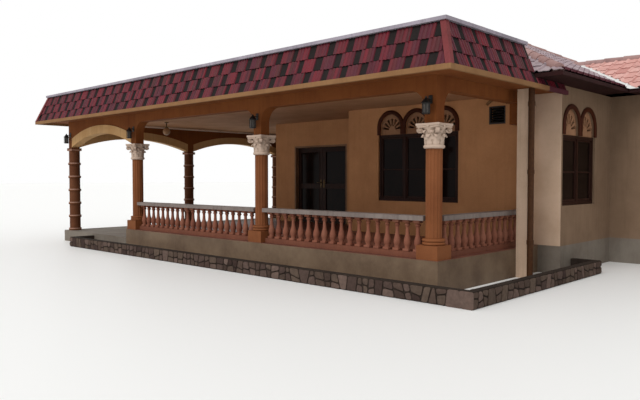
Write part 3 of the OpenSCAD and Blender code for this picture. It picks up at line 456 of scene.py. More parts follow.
def roof_tile_pattern():
    """One tile from its foot up +Y: a flat pan with a half-round roll along its left edge."""
    bm = bmesh.new()
    length = tile_show + 0.04
    roll_wide, roll_high, rib_at, rib_high = 0.08, 0.028, 0.16, 0.006
    # The foot laps 18 mm over the tile below; the pans lie 25 mm down in the roof's depth
    lap, bed = 0.018, 0.025
    across = [0.0, 0.012, 0.03, 0.05, 0.068, roll_wide, 0.12, rib_at, 0.2, tile_wide]
    bmesh.ops.create_grid(bm, x_segments=9, y_segments=1, size=0.5)
    for corner in bm.verts:
        u = across[round((corner.co.x + 0.5) * 9)]
        v = corner.co.y + 0.5
        roll = roll_high * math.sin(math.pi * u / roll_wide) if u < roll_wide else 0.0
        rib = rib_high if u == rib_at else 0.0
        corner.co = (u - tile_wide / 2, v * length, roll + rib + lap * (1 - v) - bed)
    bmesh.ops.recalc_face_normals(bm, faces=bm.faces)
    bmesh.ops.solidify(bm, geom=bm.faces, thickness=-0.01)
    return pattern_mesh(bm, "roof_tile")


def tile_field(bm, corner, turn, width, slope_length, cuts, seed, rows=(0, 99)):
    """Courses of tiles up a roof plane from its eave corner; cuts are plan lines to trim to."""
    pick = random.Random(seed)
    plane = (Matrix.Translation((*corner, eave_z))
             @ Matrix.Rotation(turn, 4, "Z") @ Matrix.Rotation(roof_slope, 4, "X"))
    field = bmesh.new()
    for row in range(rows[0], min(rows[1], math.ceil(slope_length / tile_show))):
        up = row * tile_show + 0.014
        for column in range(math.ceil(width / tile_wide)):
            middle = (column + 0.5) * tile_wide
            # A tile that lies wholly past a cut isn't laid
            spot = plane @ Vector((middle, up + tile_show / 2, 0))
            if any((spot.xy - Vector(c[0])).dot(Vector(c[1])) > 0.35 for c in cuts):
                continue
            wobble = Matrix.Rotation(pick.uniform(-0.008, 0.008), 4, "Z")
            slip = Matrix.Translation((middle, up + pick.uniform(0.0, 0.008), 0))
            lay(field, roof_tile, plane @ slip @ wobble)
    for point, past in cuts:
        cut_off(field, Vector((*point, 0)), Vector((*past, 0)))
    join(bm, field)


roof_tile = roof_tile_pattern()
main_slope, wing_slope = main_half / math.cos(roof_slope), wing_half / math.cos(roof_slope)
x0, y0, x1, y1 = *roof_low, *roof_high
wx, wy0, wy1 = wing_high[0], wing_low[1], wing_high[1]
mid_y, wing_mid = (y0 + y1) / 2, (wy0 + wy1) / 2
# Tiles are cut square to the hips, and stop 85 mm short of the valleys' middle
ne, nw, se, sw = (1, 1), (-1, 1), (1, -1), (-1, -1)
valley = 0.085 * math.sqrt(2)
right_front_cuts = [((x1, y0), sw), ((x1, y1), nw), ((x1 - valley, wy0), ne),
                    ((x1, wing_mid), (0, 1))]
right_back_cuts = [((x1, y0), sw), ((x1, y1), nw), ((x1 - valley, wy1), se),
                   ((x1, wing_mid), (0, -1))]
tiles = bmesh.new()
eave_course = bmesh.new()
tile_field(tiles, (x1, y1), math.pi, x1 - x0, main_slope,
           [((x0, y1), sw), ((x1, y1), se), ((x0, mid_y), (0, -1))], 2)
tile_field(tiles, (x0, y1), -math.pi / 2, y1 - y0, main_slope,
           [((x0, y1), ne), ((x0, y0), se)], 3)
tile_field(tiles, (x0, y0), 0.0, x1 - x0, main_slope,
           [((x0, y0), nw), ((x1, y0), ne), ((x0, mid_y), (0, 1))], 1)
tile_field(tiles, (x1, y0), math.pi / 2, wing_mid - y0, main_slope, right_front_cuts, 4, (1, 99))
tile_field(eave_course, (x1, y0), math.pi / 2, wing_mid - y0, main_slope, right_front_cuts, 9,
           (0, 1))
tile_field(tiles, (x1, wing_mid), math.pi / 2, y1 - wing_mid, main_slope, right_back_cuts, 5)


def clay_tiles(name, tints, lichen, roughness=0.75):
    """Fired clay tiles: each its own tint, mottled, with darker lichen and rain marks."""
    finish, tree, shader, place = new_finish(name, roughness)
    own = node(tree, "ShaderNodeNewGeometry").outputs["Random Per Island"]
    steps = [(i / (len(tints) - 1), tint) for i, tint in enumerate(tints)]
    tint = node(tree, "ShaderNodeValToRGB", {"Fac": own}, stops=steps)
    # Lichen in patches about 0.3 m across
    growth = node(tree, "ShaderNodeTexNoise",
                  {"Vector": place, "Scale": 3.2, "Detail": 8.0, "Roughness": 0.7})
    cover = node(tree, "ShaderNodeMapRange",
                 {"Value": growth.outputs["Fac"], "From Min": 0.52, "From Max": 0.72,
                  "To Max": 0.55})
    aged = node(tree, "ShaderNodeMix",
                {0: cover.outputs["Result"], 6: tint.outputs["Color"], 7: linear(lichen)},
                data_type="RGBA")
    # Grit of the clay, about 12 mm so that it shows
    grit = node(tree, "ShaderNodeTexNoise",
                {"Vector": place, "Scale": 85.0, "Detail": 3.0, "Roughness": 0.7})
    speck = node(tree, "ShaderNodeMapRange",
                 {"Value": grit.outputs["Fac"], "To Min": 0.8, "To Max": 1.2})
    colour = node(tree, "ShaderNodeMix",
                  {0: 1.0, 6: aged.outputs[2], 7: speck.outputs["Result"]},
                  data_type="RGBA", blend_type="MULTIPLY")
    relief = node(tree, "ShaderNodeBump",
                  {"Height": grit.outputs["Fac"], "Strength": 0.3, "Distance": 0.003})
    tree.links.new(colour.outputs[2], shader.inputs["Base Color"])
    tree.links.new(relief.outputs["Normal"], shader.inputs["Normal"])
    return finish


# Fired clay, matt. The wing's tiles are pink, chalky from the sun
pink_clay = clay_tiles("pink_clay_tile", ["c8958c", "d6a79e", "bd877f", "cf9d94", "dcb3aa"],
                       "8a625c")
# The main roof has greyed, and its eaves course on the right is drawn dark maroon like the
# band: painted shade where that eave lies in shadow
grey_clay = clay_tiles("greyed_clay_tile", ["9f8d93", "aa9b9d", "908085", "a39094"], "64565a")
add_piece(tiles, "main_roof_tiles", grey_clay, smooth=35)
shade_maroon_clay = clay_tiles("dark_maroon_tile", ["4a2129", "3e1c22", "522830", "43262a"], "2a1a1b")
add_piece(eave_course, "right_eave_course", shade_maroon_clay, smooth=35)

# The wing's slopes start behind the main roof, where the valleys end
wing_tiles = bmesh.new()
wing_x = 3.2
tile_field(wing_tiles, (wing_x, wy0), 0.0, wx - wing_x, wing_slope,
           [((x1 + valley, wy0), sw), ((wx, wy0), ne), ((x1, wing_mid), (0, 1))], 6)
tile_field(wing_tiles, (wx, wy1), math.pi, wx - wing_x, wing_slope,
           [((x1 + valley, wy1), nw), ((wx, wy1), se), ((x1, wing_mid), (0, -1))], 7)
tile_field(wing_tiles, (wx, wy0), math.pi / 2, wy1 - wy0, wing_slope,
           [((wx, wy0), sw), ((wx, wy1), nw)], 8)
add_piece(wing_tiles, "wing_roof_tiles", pink_clay, smooth=35)

# Valley gutters
# Folded zinc sheets that carry the rain down the two valleys, nailed to the boards under the
# cut tiles where the wing meets the main roof.

valley_sheet = bmesh.new()
sheet_wide, sheet_down = 0.16, 0.02
for side, eave_y in ((1, wy0), (-1, wy1)):
    foot = Vector((x1, eave_y, eave_z - sheet_down))
    head = Vector((x1 - wing_half, wing_mid, eave_z + wing_half / 2 - sheet_down))
    folds = (Vector((0, -side * sheet_wide, 0)), Vector((0, 0, 0)), Vector((sheet_wide, 0, 0)))
    rows = [[valley_sheet.verts.new(end + fold) for fold in folds] for end in (foot, head)]
    for i in (0, 1):
        valley_sheet.faces.new((rows[0][i], rows[0][i + 1], rows[1][i + 1], rows[1][i]))
bmesh.ops.recalc_face_normals(valley_sheet, faces=valley_sheet.faces)
bmesh.ops.solidify(valley_sheet, geom=valley_sheet.faces, thickness=0.003)


def weathered_metal(name, colour, dull, roughness, metallic=0.8):
    """Sheet or cast metal with a blotchy weathered surface."""
    finish, tree, shader, place = new_finish(name, roughness, metallic)
    blotch = node(tree, "ShaderNodeTexNoise",
                  {"Vector": place, "Scale": 22.0, "Detail": 6.0, "Roughness": 0.6})
    tint = node(tree, "ShaderNodeValToRGB", {"Fac": blotch.outputs["Fac"]},
                stops=[(0.4, colour), (0.65, dull)])
    tree.links.new(tint.outputs["Color"], shader.inputs["Base Color"])
    relief = node(tree, "ShaderNodeBump",
                  {"Height": blotch.outputs["Fac"], "Strength": 0.25, "Distance": 0.002})
    tree.links.new(relief.outputs["Normal"], shader.inputs["Normal"])
    return finish


# Zinc: pale grey, dull
zinc = weathered_metal("weathered_zinc", "dededc", "cacac7", 0.6, 0.1)
add_piece(valley_sheet, "valley_gutters", zinc)

# Ridge and hip tiles
# Half-round clay tiles about 0.4 m long that taper a little, lapped from the eaves up and
# bedded in mortar over the edges of the tile fields.

cap_radius, cap_long, cap_drop = 0.098, 0.4, 0.055
cap_in = 0.16


def rod(bm, place, length, radius, top=None, sides=14):
    """A round or many-sided rod along the Z of its place, with its own radius at the top."""
    bmesh.ops.create_cone(bm, cap_ends=True, segments=sides, radius1=radius,
                          radius2=radius if top is None else top, depth=length, matrix=place)


def cap_line(bm, start, end):
    """Tapered round tiles in a line, each lapping the one below."""
    run = Vector(end) - Vector(start)
    count = round(run.length / cap_long)
    turn = run.to_track_quat("Z", "Y").to_matrix().to_4x4()
    for i in range(count):
        middle = Vector(start) + run * ((i + 0.5) / count)
        rod(bm, Matrix.Translation(middle) @ turn, run.length / count + 0.02, cap_radius,
            cap_radius * 0.86, 16)


def hip_foot(x, y, sx, sy):
    """The foot of a hip line, drawn in from the eave corner."""
    return (x + sx * cap_in, y + sy * cap_in, low_z + cap_in / 2)


caps = bmesh.new()
low_z = eave_z - cap_drop
ridge_z, wing_ridge_z = low_z + main_half / 2, low_z + wing_half / 2
west_end, east_end = (x0 + main_half, mid_y, ridge_z), (x1 - main_half, mid_y, ridge_z)
cap_line(caps, hip_foot(x0, y0, 1, 1), west_end)
cap_line(caps, hip_foot(x0, y1, 1, -1), west_end)
cap_line(caps, hip_foot(x1, y0, -1, 1), east_end)
cap_line(caps, hip_foot(x1, y1, -1, -1), east_end)
# The ridges' end caps lap 20 to 25 mm past the hips, and the wing's runs into the main roof
cap_line(caps, (x0 + main_half - 0.025, mid_y, ridge_z), (x1 - main_half + 0.025, mid_y, ridge_z))
wing_end = (wx - wing_half, wing_mid, wing_ridge_z)
cap_line(caps, hip_foot(wx, wy0, -1, 1), wing_end)
cap_line(caps, hip_foot(wx, wy1, -1, -1), wing_end)
cap_line(caps, (x1 - wing_half - 0.14, wing_mid, wing_ridge_z),
         (wx - wing_half + 0.02, wing_mid, wing_ridge_z))
# The lowest caps are cut level under the tiles' edge
cut_off(caps, (0, 0, 3.275), (0, 0, -1))
# The same fired clay, redder than the main roof where the mortar shaded it
ridge_clay = clay_tiles("ridge_clay_tile", ["9f807d", "91706b", "aa8b87", "967874"], "674d4b")
add_piece(caps, "ridge_tiles", ridge_clay, ["ridge_caps"], smooth=50)

# Tiled band
# A leaning upstand round the flat roof, hung with three courses of glazed ribbed tiles. Wide
# maroon tiles alternate with narrow dark channels, and each course is set over by half.

band_corner = {"front": (-8.01, -5.38), "right": (4.63, -5.38), "left": (-8.01, 3.26),
               "back": (-4.14, 3.26)}
# Each course: its foot and the next one's, and how far in the face is at its foot and head
lap_z = [3.128, 3.32, 3.535, 3.752]
face_foot, face_head = [0.014, 0.088, 0.161], [0.1, 0.173, 0.246]
band_tile, band_pitch = 0.272, 0.391
# Heights where a run isn't cut down, and to which the low run beside the roof is
full, low_run = 4.0, 3.23
cap_width = 0.075
# Sections as depth inwards and height: the stepped backing behind the tiles, and its render
backing_outline = [(0.038, 3.122), (0.124, 3.32), (0.112, 3.32), (0.197, 3.535),
                   (0.185, 3.535), (0.27, 3.749), (0.31, 3.749), (0.31, 3.131),
                   (0.062, 3.131), (0.062, 3.122)]
upstand_outline = [(0.31, 3.131), (0.33, 3.131), (0.33, 3.749), (0.31, 3.749)]


def place_run(bm, part, start, end, top, mitres, length, corner, turn, cap):
    """Trim a run to its ends, height and mitres less the corner caps, and put it in place."""
    if top < full:
        cut_off(part, (0, 0, top), (0, 0, 1))
    cut_off(part, (start, 0, 0), (-1, 0, 0))
    cut_off(part, (end, 0, 0), (1, 0, 0))
    if mitres[0]:
        cut_off(part, (cap, 0, 0), (-1, 1, 0))
    if mitres[1]:
        cut_off(part, (length - cap, 0, 0), (1, 1, 0))
    join(bm, part, Matrix.Translation((*corner, 0)) @ Matrix.Rotation(turn, 4, "Z"))


def band_core_run(bm, outline, segments, mitres, length, corner, turn):
    """One run of a section that is drawn along behind the tiles."""
    for start, end, top in segments:
        part = bmesh.new()
        face = part.faces.new([part.verts.new((start, d, z)) for d, z in outline])
        drawn = bmesh.ops.extrude_face_region(part, geom=[face])
        moved = [g for g in drawn["geom"] if isinstance(g, bmesh.types.BMVert)]
        bmesh.ops.translate(part, verts=moved, vec=(end - start, 0, 0))
        bmesh.ops.recalc_face_normals(part, faces=part.faces)
        place_run(bm, part, start, end, top, mitres, length, corner, turn, 0.0)


def band_tile_pattern(height):
    """One ribbed tile facing -Y, from its foot up: four rounded ribs over its width."""
    bm = bmesh.new()
    bmesh.ops.create_grid(bm, x_segments=20, y_segments=1, size=0.5)
    rib_out, edge_back, bed = 0.013, 0.012, 0.016
    for corner in bm.verts:
        u, v = corner.co.x, corner.co.y + 0.5
        rib = rib_out * abs(math.sin(4 * math.pi * (u + 0.5))) ** 0.7
        edge = edge_back if abs(u) > 0.49 else 0.0
        corner.co = (u * band_tile, bed - rib + edge, v * height)
    bmesh.ops.recalc_face_normals(bm, faces=bm.faces)
    if sum(f.normal.y for f in bm.faces) > 0:
        bmesh.ops.reverse_faces(bm, faces=bm.faces)
    bmesh.ops.solidify(bm, geom=bm.faces, thickness=0.009)
    return pattern_mesh(bm, "band_tile")


def band_tiles_run(bm, segments, mitres, length, corner, turn, seed):
    """The hung tiles of a run, each a little off its place and its level."""
    pick = random.Random(seed)
    for start, end, top in segments:
        part = bmesh.new()
        for course in range(3):
            if lap_z[course] > top:
                continue
            rise = lap_z[course + 1] - lap_z[course]
            back = face_head[course] - face_foot[course]
            lean = Matrix.Rotation(-math.atan2(back, rise), 4, "X")
            first = -band_pitch * (0.5 if course % 2 else 0.0)
            for i in range(math.ceil((length - first) / band_pitch) + 1):
                middle = first + i * band_pitch
                if middle < start - 0.2 or middle > end + 0.2:
                    continue
                spot = (middle + pick.uniform(-0.018, 0.018), face_foot[course],
                        lap_z[course] - pick.uniform(0.0, 0.012))
                skew = Matrix.Rotation(pick.uniform(-0.028, 0.028), 4, "Y")
                lay(part, course_tiles[course], Matrix.Translation(spot) @ lean @ skew)
        place_run(bm, part, start, end, top, mitres, length, corner, turn, cap_width + 0.004)


course_tiles = [band_tile_pattern(math.hypot(lap_z[i + 1] - lap_z[i],
                                             face_head[i] - face_foot[i]) - 0.004)
                for i in range(3)]
# Runs as pieces (from, to, top), mitred ends, length, corner and turn
band_runs = [
    ([(0.0, 12.64, full)], (True, True), 12.64, band_corner["front"], 0.0),
    ([(0.0, 2.57, full), (2.57, 3.67, low_run)], (True, False), 3.67, band_corner["right"],
     math.pi / 2),
    ([(0.0, 8.64, full)], (True, True), 8.64, band_corner["left"], -math.pi / 2),
    ([(0.0, 0.5, low_run), (0.5, 3.87, full)], (False, True), 3.87, band_corner["back"],
     math.pi)]
backing = bmesh.new()
upstand = bmesh.new()
hung = bmesh.new()
for number, run in enumerate(band_runs):
    band_core_run(backing, backing_outline, *run)
    band_core_run(upstand, upstand_outline, *run)
    band_tiles_run(hung, *run, 70 + number)
# Backing in dark paint, drawn brownish black: its own dark colour and painted shade in the
# channels between the tiles, dusty where rain doesn't reach
dark_paint_and_shade = masonry_paint("dark_band_backing", "262120", "1f1b1a", "161312", 0.4, 0.9)
add_piece(backing, "band_backing", dark_paint_and_shade, ["tiled_band"])
# The back of the upstand is in the same screed as the flat roof
add_piece(upstand, "band_upstand", screed)


def glazed_tiles(name, tints, worn):
    """Glazed ribbed tiles: mostly maroon, each its own tint, with the glaze dulled in streaks."""
    finish, tree, shader, place = new_finish(name, 0.58)
    shader.inputs["Specular IOR Level"].default_value = 0.2
    own = node(tree, "ShaderNodeNewGeometry").outputs["Random Per Island"]
    steps = [(i / (len(tints) - 1), tint) for i, tint in enumerate(tints)]
    tint = node(tree, "ShaderNodeValToRGB", {"Fac": own}, stops=steps)
    # Streaks about 25 mm wide that run down the tile
    fall = node(tree, "ShaderNodeMapping", {"Vector": place, "Scale": (38.0, 38.0, 5.0)})
    streak = node(tree, "ShaderNodeTexNoise",
                  {"Vector": fall.outputs["Vector"], "Scale": 1.0, "Detail": 5.0})
    dusty = node(tree, "ShaderNodeMapRange",
                 {"Value": streak.outputs["Fac"], "From Min": 0.42, "From Max": 0.75,
                  "To Max": 0.5})
    colour = node(tree, "ShaderNodeMix",
                  {0: dusty.outputs["Result"], 6: tint.outputs["Color"], 7: linear(worn)},
                  data_type="RGBA")
    tree.links.new(colour.outputs[2], shader.inputs["Base Color"])
    relief = node(tree, "ShaderNodeBump",
                  {"Height": streak.outputs["Fac"], "Strength": 0.3, "Distance": 0.003})
    tree.links.new(relief.outputs["Normal"], shader.inputs["Normal"])
    return finish


# Glazed clay, its gloss gone: dark maroon with brown and crimson ones among it
maroon = glazed_tiles("maroon_glazed_tile",
                      ["581220", "410e1b", "6a1622", "3e1a1a", "68111f", "4e1d25", "4b1223"],
                      "572730")
add_piece(hung, "band_tiles", maroon, smooth=40)

# The strip under the tiles' feet, 54 mm deep and 4 mm inside the band's outline
strip_foot, strip_head = 3.051, 3.124
strip_end_y = -2.45
strip = bmesh.new()
for near, far in (((-8.006, -5.376), (4.626, -5.322)), ((4.572, -5.322), (4.626, strip_end_y)),
                  ((-8.006, -5.322), (-7.952, 3.202)), ((-8.006, 3.202), (-4.142, 3.256))):
    add_block(strip, (*near, strip_foot), (*far, strip_head), 0.004)
# Tan masonry paint, sun-bleached and matt
tan_edge = masonry_paint("tan_edge_paint", "886645", "7c593b", "5a3f27", 0.2)
add_piece(strip, "band_foot_strip", tan_edge)
# Past the rain pipe the strip is drawn dark maroon: painted shade under the main roof's eave
strip_end = bmesh.new()
add_block(strip_end, (4.572, strip_end_y, strip_foot), (4.626, -1.712, strip_head), 0.004)
add_piece(strip_end, "band_foot_end", shade_maroon_clay)

# Flat caps of the same clay over the three corners, bent along the mitre
corner_caps = bmesh.new()
wing = 0.085
for name, sx, sy in (("front", 1, 1), ("right", -1, 1), ("left", 1, -1)):
    corner = Vector((*band_corner[name], 0))
    rows = []
    for depth, z in ((0.002, 3.122), (0.238, 3.749)):
        bend = corner + Vector((sx * depth, sy * depth, z))
        sides = (bend + Vector((0, sy * wing, 0)), bend, bend + Vector((sx * wing, 0, 0)))
        rows.append([corner_caps.verts.new(point) for point in sides])
    wings = [corner_caps.faces.new((rows[0][i], rows[0][i + 1], rows[1][i + 1], rows[1][i]))
             for i in (0, 1)]
    bmesh.ops.recalc_face_normals(corner_caps, faces=wings)
    if wings[0].normal.x * sx > 0:
        bmesh.ops.reverse_faces(corner_caps, faces=wings)
bmesh.ops.solidify(corner_caps, geom=corner_caps.faces, thickness=0.02)
# Brick-red clay without glaze, paler than the tiles
brick_cap = masonry_paint("brick_red_cap", "77393b", "6d3334", "4e2725", 0.3, 0.7)
add_piece(corner_caps, "corner_caps", brick_cap, ["band_corner_caps"])
# Bare cement coping, lilac grey as painted light from the sky on it, with heavy rain marks
coping_cement = masonry_paint("coping_cement", "9e96a0", "8a838c", "5a5259", 0.5, 0.9)
dress(coping_cement, "parapet_coping")

# Lining, beams and stubs
# Concrete beams, stubs and eaves lining, cast in place, rendered smooth and all painted in
# one orange-brown masonry paint.

terracotta = masonry_paint("terracotta_paint", "794622", "6d3c1c", "42240f", 0.3)
dress(terracotta, "eaves_lining", "front_beam", "side_beam", "porch_beams", "column_stubs")
# Arch bands: smooth render in a yellowish cream, streaked with dirt
arch_cream = masonry_paint("arch_cream_paint", "c39d6f", "b78f60", "83603a", 0.3)
dress(arch_cream, "arch_bands")

# Porch cornice
# A narrow pale moulding of gypsum plaster, run in place where the porch ceiling meets the
# left and the back beam.

cornice = bmesh.new()
beam_half, cornice_wide, cornice_foot, ceiling_z = 0.1, 0.04, 3.085, 3.13
left_x, front_y, back_y, house_left_x = -7.29, -4.66, 2.54, -4.14
beam_x, beam_y = left_x + beam_half, back_y - beam_half
add_block(cornice, (beam_x, front_y + beam_half, cornice_foot),
          (beam_x + cornice_wide, beam_y, ceiling_z), 0.012)
add_block(cornice, (beam_x + cornice_wide, beam_y - cornice_wide, cornice_foot),
          (house_left_x, beam_y, ceiling_z), 0.012)
# Gypsum plaster in white paint, drawn warm and bright as painted light bounced off the floor
pale_plaster = masonry_paint("pale_cornice_plaster", "f2dccb", "e6cfbc", "b89d88", 0.1, 0.8)
add_piece(cornice, "porch_cornice", pale_plaster)

# Column shafts and bases
# Concrete, cast in fluted moulds on a square plinth with two round mouldings, and painted
# reddish brown.

column_paint = masonry_paint("reddish_column_paint", "7f4d2e", "714226", "52311f", 0.2, 0.7,
                             50.0)
dress(column_paint, "column_shafts")

# Capitals
# Cast plaster capitals in one piece: ring, bell with two rows of leaves, corner scrolls on
# curved stems, a rosette on each side and a moulded slab with hollowed sides.

columns = [(house_left_x, front_y), (0.16, front_y), (3.91, front_y)]
capital_foot = 2.07


def turned(bm, profile, steps):
    """Turn a profile of (radius, height) points about Z into a closed shape."""
    before = set(bm.verts)
    points = [bm.verts.new((r, 0, z)) for r, z in profile]
    edges = [bm.edges.new(pair) for pair in zip(points, points[1:])]
    bmesh.ops.spin(bm, geom=points + edges, axis=(0, 0, 1), cent=(0, 0, 0),
                   angle=2 * math.pi, steps=steps, use_merge=True)
    fresh = [v for v in bm.verts if v not in before]
    bmesh.ops.remove_doubles(bm, verts=fresh, dist=1e-5)
    fresh = [v for v in bm.verts if v not in before]
    bmesh.ops.recalc_face_normals(bm, faces=once(f for v in fresh for f in v.link_faces))


def acanthus(wide, tall, curl):
    """One leaf up +Z facing -Y: lobed edges, a raised rib and a tip that curls forward."""
    bm = bmesh.new()
    bmesh.ops.create_grid(bm, x_segments=6, y_segments=9, size=0.5)
    for corner in bm.verts:
        u, v = corner.co.x * 2, corner.co.y + 0.5
        outline = (1 - 0.25 * v ** 3) * (0.86 + 0.14 * math.sin(v * 5 * math.pi - 0.6))
        if v > 0.82:
            outline *= math.sqrt(max(0.05, 1 - ((v - 0.82) / 0.2) ** 2))
        turn = max(0.0, v - 0.6) / 0.4
        forward = 0.006 + 0.012 * v + curl * turn ** 1.6 + 0.006 * (1 - abs(u))
        height = tall * (min(v, 0.85) / 0.85) - 0.25 * tall * max(0.0, v - 0.85) / 0.15 * turn
        ridge = 0.0035 * math.cos(u * 5 * math.pi)
        corner.co = (u * outline * wide / 2, -(forward + ridge), height)
    bmesh.ops.recalc_face_normals(bm, faces=bm.faces)
    if sum(f.normal.y for f in bm.faces) > 0:
        bmesh.ops.reverse_faces(bm, faces=bm.faces)
    bmesh.ops.solidify(bm, geom=bm.faces, thickness=0.009)
    return pattern_mesh(bm, "leaf")


def scroll():
    """One corner scroll: a drum with a raised rim, a sunk ring and an eye on both faces."""
    bm = bmesh.new()
    bmesh.ops.create_cone(bm, cap_ends=True, segments=20, radius1=0.042, radius2=0.042,
                          depth=0.05, matrix=Matrix.Rotation(math.pi / 2, 4, "X"))
    for step in ((0.009, -0.007), (0.008, 0.007), (0.009, -0.007), (0.004, 0.01)):
        flat = [f for f in bm.faces if len(f.verts) == 20]
        bmesh.ops.inset_individual(bm, faces=flat, thickness=step[0], depth=step[1])
    return pattern_mesh(bm, "scroll")


def hollow_slab(bm, half, sink, z0, z1):
    """A square slab with hollowed sides and clipped corners."""
    outline = []
    for quarter in range(4):
        turn = Matrix.Rotation(quarter * math.pi / 2, 3, "Z")
        for i in range(9):
            along = -1 + 2 * i / 8
            outline.append(turn @ Vector((half - sink * (1 - along ** 2),
                                          along * (half - 0.018), z0)))
    base = bm.faces.new([bm.verts.new(p) for p in outline])
    raised = bmesh.ops.extrude_face_region(bm, geom=[base])
    top = [g for g in raised["geom"] if isinstance(g, bmesh.types.BMVert)]
    bmesh.ops.translate(bm, verts=top, vec=(0, 0, z1 - z0))
    sides = once(e for v in top for e in v.link_edges if all(w in top for w in e.verts))
    sides += base.edges
    slab = once(f for v in top for f in v.link_faces)
    bmesh.ops.recalc_face_normals(bm, faces=[*slab, base])
    bmesh.ops.bevel(bm, geom=sides, offset=0.006, segments=2, profile=0.5,
                    affect="EDGES", material=-1)


leaf_low, leaf_high = acanthus(0.1, 0.14, 0.03), acanthus(0.085, 0.13, 0.04)
corner_scroll = scroll()
one = bmesh.new()
# The ring at the foot, then the bell up to its lip, as radius and height
ring = [(0.118, 0.0)] + [(0.126 + 0.029 * math.cos(a), 0.029 + 0.029 * math.sin(a))
                         for a in [math.radians(d) for d in range(-90, 91, 22)]]
turned(one, ring + [(0.128, 0.06), (0.13, 0.12), (0.132, 0.19), (0.142, 0.24), (0.16, 0.285),
                    (0.172, 0.302), (0.1, 0.302)], 32)
for i in range(8):
    around = Matrix.Rotation(i * math.pi / 4, 4, "Z")
    lay(one, leaf_low, around @ Matrix.Translation((0, -0.126, 0.055)))
    between = Matrix.Rotation((i + 0.5) * math.pi / 4, 4, "Z")
    lay(one, leaf_high, between @ Matrix.Translation((0, -0.127, 0.125)))
for i in range(4):
    corner_turn = Matrix.Rotation(math.radians(45 + 90 * i), 4, "Z")
    lay(one, corner_scroll, corner_turn @ Matrix.Translation((0.212, 0, 0.262)))
    # The stem that carries the scroll bends once on its way out
    stem = bmesh.new()
    for start, end, thick in (((0.12, 0, 0.2), (0.165, 0, 0.262), 0.02),
                              ((0.155, 0, 0.25), (0.214, 0, 0.298), 0.018)):
        run = Vector(end) - Vector(start)
        turn = run.to_track_quat("Z", "Y").to_matrix().to_4x4()
        middle = (Vector(start) + Vector(end)) / 2
        rod(stem, Matrix.Translation(middle) @ turn, run.length + 0.01, thick, sides=10)
    join(one, stem, corner_turn)
    rosette = bmesh.new()
    bmesh.ops.create_uvsphere(rosette, u_segments=12, v_segments=8, radius=0.026)
    bmesh.ops.scale(rosette, vec=(1, 0.55, 1), verts=rosette.verts)
    join(one, rosette, Matrix.Rotation(i * math.pi / 2, 4, "Z")
         @ Matrix.Translation((0, -0.168, 0.325)))
hollow_slab(one, 0.19, 0.028, 0.298, 0.324)
hollow_slab(one, 0.2, 0.028, 0.324, 0.36)
capital_mesh = pattern_mesh(one, "capital")
capitals = bmesh.new()
for x, y in columns:
    lay(capitals, capital_mesh, Matrix.Translation((x, y, capital_foot)))


def cast_plaster(name, clean, hollow_colour, roughness=0.7):
    """Painted cast plaster: off-white, darker in the hollows of the casting, as dirt and painted
    shade.
    """
    finish, tree, shader, place = new_finish(name, roughness)
    # Painted shade: the casting darkens where it is occluded, mixed in patches with dirt
    hollow = node(tree, "ShaderNodeAmbientOcclusion", {"Distance": 0.05}, samples=8)
    grime = node(tree, "ShaderNodeMapRange",
                 {"Value": hollow.outputs["AO"], "From Min": 0.25, "From Max": 0.9,
                  "To Min": 0.85, "To Max": 0.0})
    cloud = node(tree, "ShaderNodeTexNoise",
                 {"Vector": place, "Scale": 14.0, "Detail": 6.0, "Roughness": 0.65})
    dirt_and_shade = node(tree, "ShaderNodeMath",
                 {0: grime.outputs["Result"], 1: cloud.outputs["Fac"]}, operation="MULTIPLY")
    colour = node(tree, "ShaderNodeMix",
                  {0: dirt_and_shade.outputs[0], 6: linear(clean), 7: linear(hollow_colour)}, data_type="RGBA")
    speck = node(tree, "ShaderNodeMapRange",
                 {"Value": cloud.outputs["Fac"], "To Min": 0.85, "To Max": 1.12})
    shade = node(tree, "ShaderNodeMix",
                 {0: 1.0, 6: colour.outputs[2], 7: speck.outputs["Result"]},
                 data_type="RGBA", blend_type="MULTIPLY")
    tree.links.new(shade.outputs[2], shader.inputs["Base Color"])
    relief = node(tree, "ShaderNodeBump",
                  {"Height": cloud.outputs["Fac"], "Strength": 0.3, "Distance": 0.003})
    tree.links.new(relief.outputs["Normal"], shader.inputs["Normal"])
    return finish


# Cast plaster: chalky off-white, grey brown in the hollows of the leaves, as dirt and painted
# shade
plaster = cast_plaster("cast_capital_plaster", "baa493", "6b543f")
add_piece(capitals, "capitals", plaster, ["column_capitals"], smooth=40)

# Porch columns
# Round concrete columns cast in place with raised bands, and painted the same reddish brown
# but darker.

porch_top, ring_pitch, lip_up, lip_half = 0.28, 0.342, 0.049, 0.013
banded_paint = masonry_paint("brown_column_paint", "67402a", "593420", "3a2213", 0.25, 0.75)
# The lip at the top of each raised band is drawn pale: a painted highlight where light falls
# on its top
tree = banded_paint.node_tree
shader = tree.nodes["Principled BSDF"]
place = next(n for n in tree.nodes if n.type == "TEX_COORD").outputs["Object"]
apart = node(tree, "ShaderNodeSeparateXYZ", {"Vector": place})
above = node(tree, "ShaderNodeMath", {0: apart.outputs["Z"], 1: porch_top},
             operation="SUBTRACT")
phase = node(tree, "ShaderNodeMath", {0: above.outputs[0], 1: ring_pitch}, operation="MODULO")
lip = node(tree, "ShaderNodeMath", {0: phase.outputs[0], 1: lip_up, 2: lip_half},
           operation="COMPARE")
lit_lip = node(tree, "ShaderNodeMix",
              {0: lip.outputs[0], 6: shader.inputs["Base Color"].links[0].from_socket,
               7: linear("a07c6a")}, data_type="RGBA")
tree.links.new(lit_lip.outputs[2], shader.inputs["Base Color"])
dress(banded_paint, "banded_columns")

# Balustrade
# Turned clay balusters, bedded in mortar between a cement foot rail and a broad rounded
# handrail in pale paint.

# Rail paint: a pale grey oil paint, dusty in patches and streaked with black mould
rail_paint = masonry_paint("pale_rail_paint", "827771", "706560", "4c423e", 0.5, 0.6)
dress(rail_paint, "handrails")
# The foot rail is in the balusters' paint, darker with splashed soil
foot_paint = masonry_paint("foot_rail_paint", "764938", "6a4133", "482c22", 0.3, 0.8)
dress(foot_paint, "foot_rails")

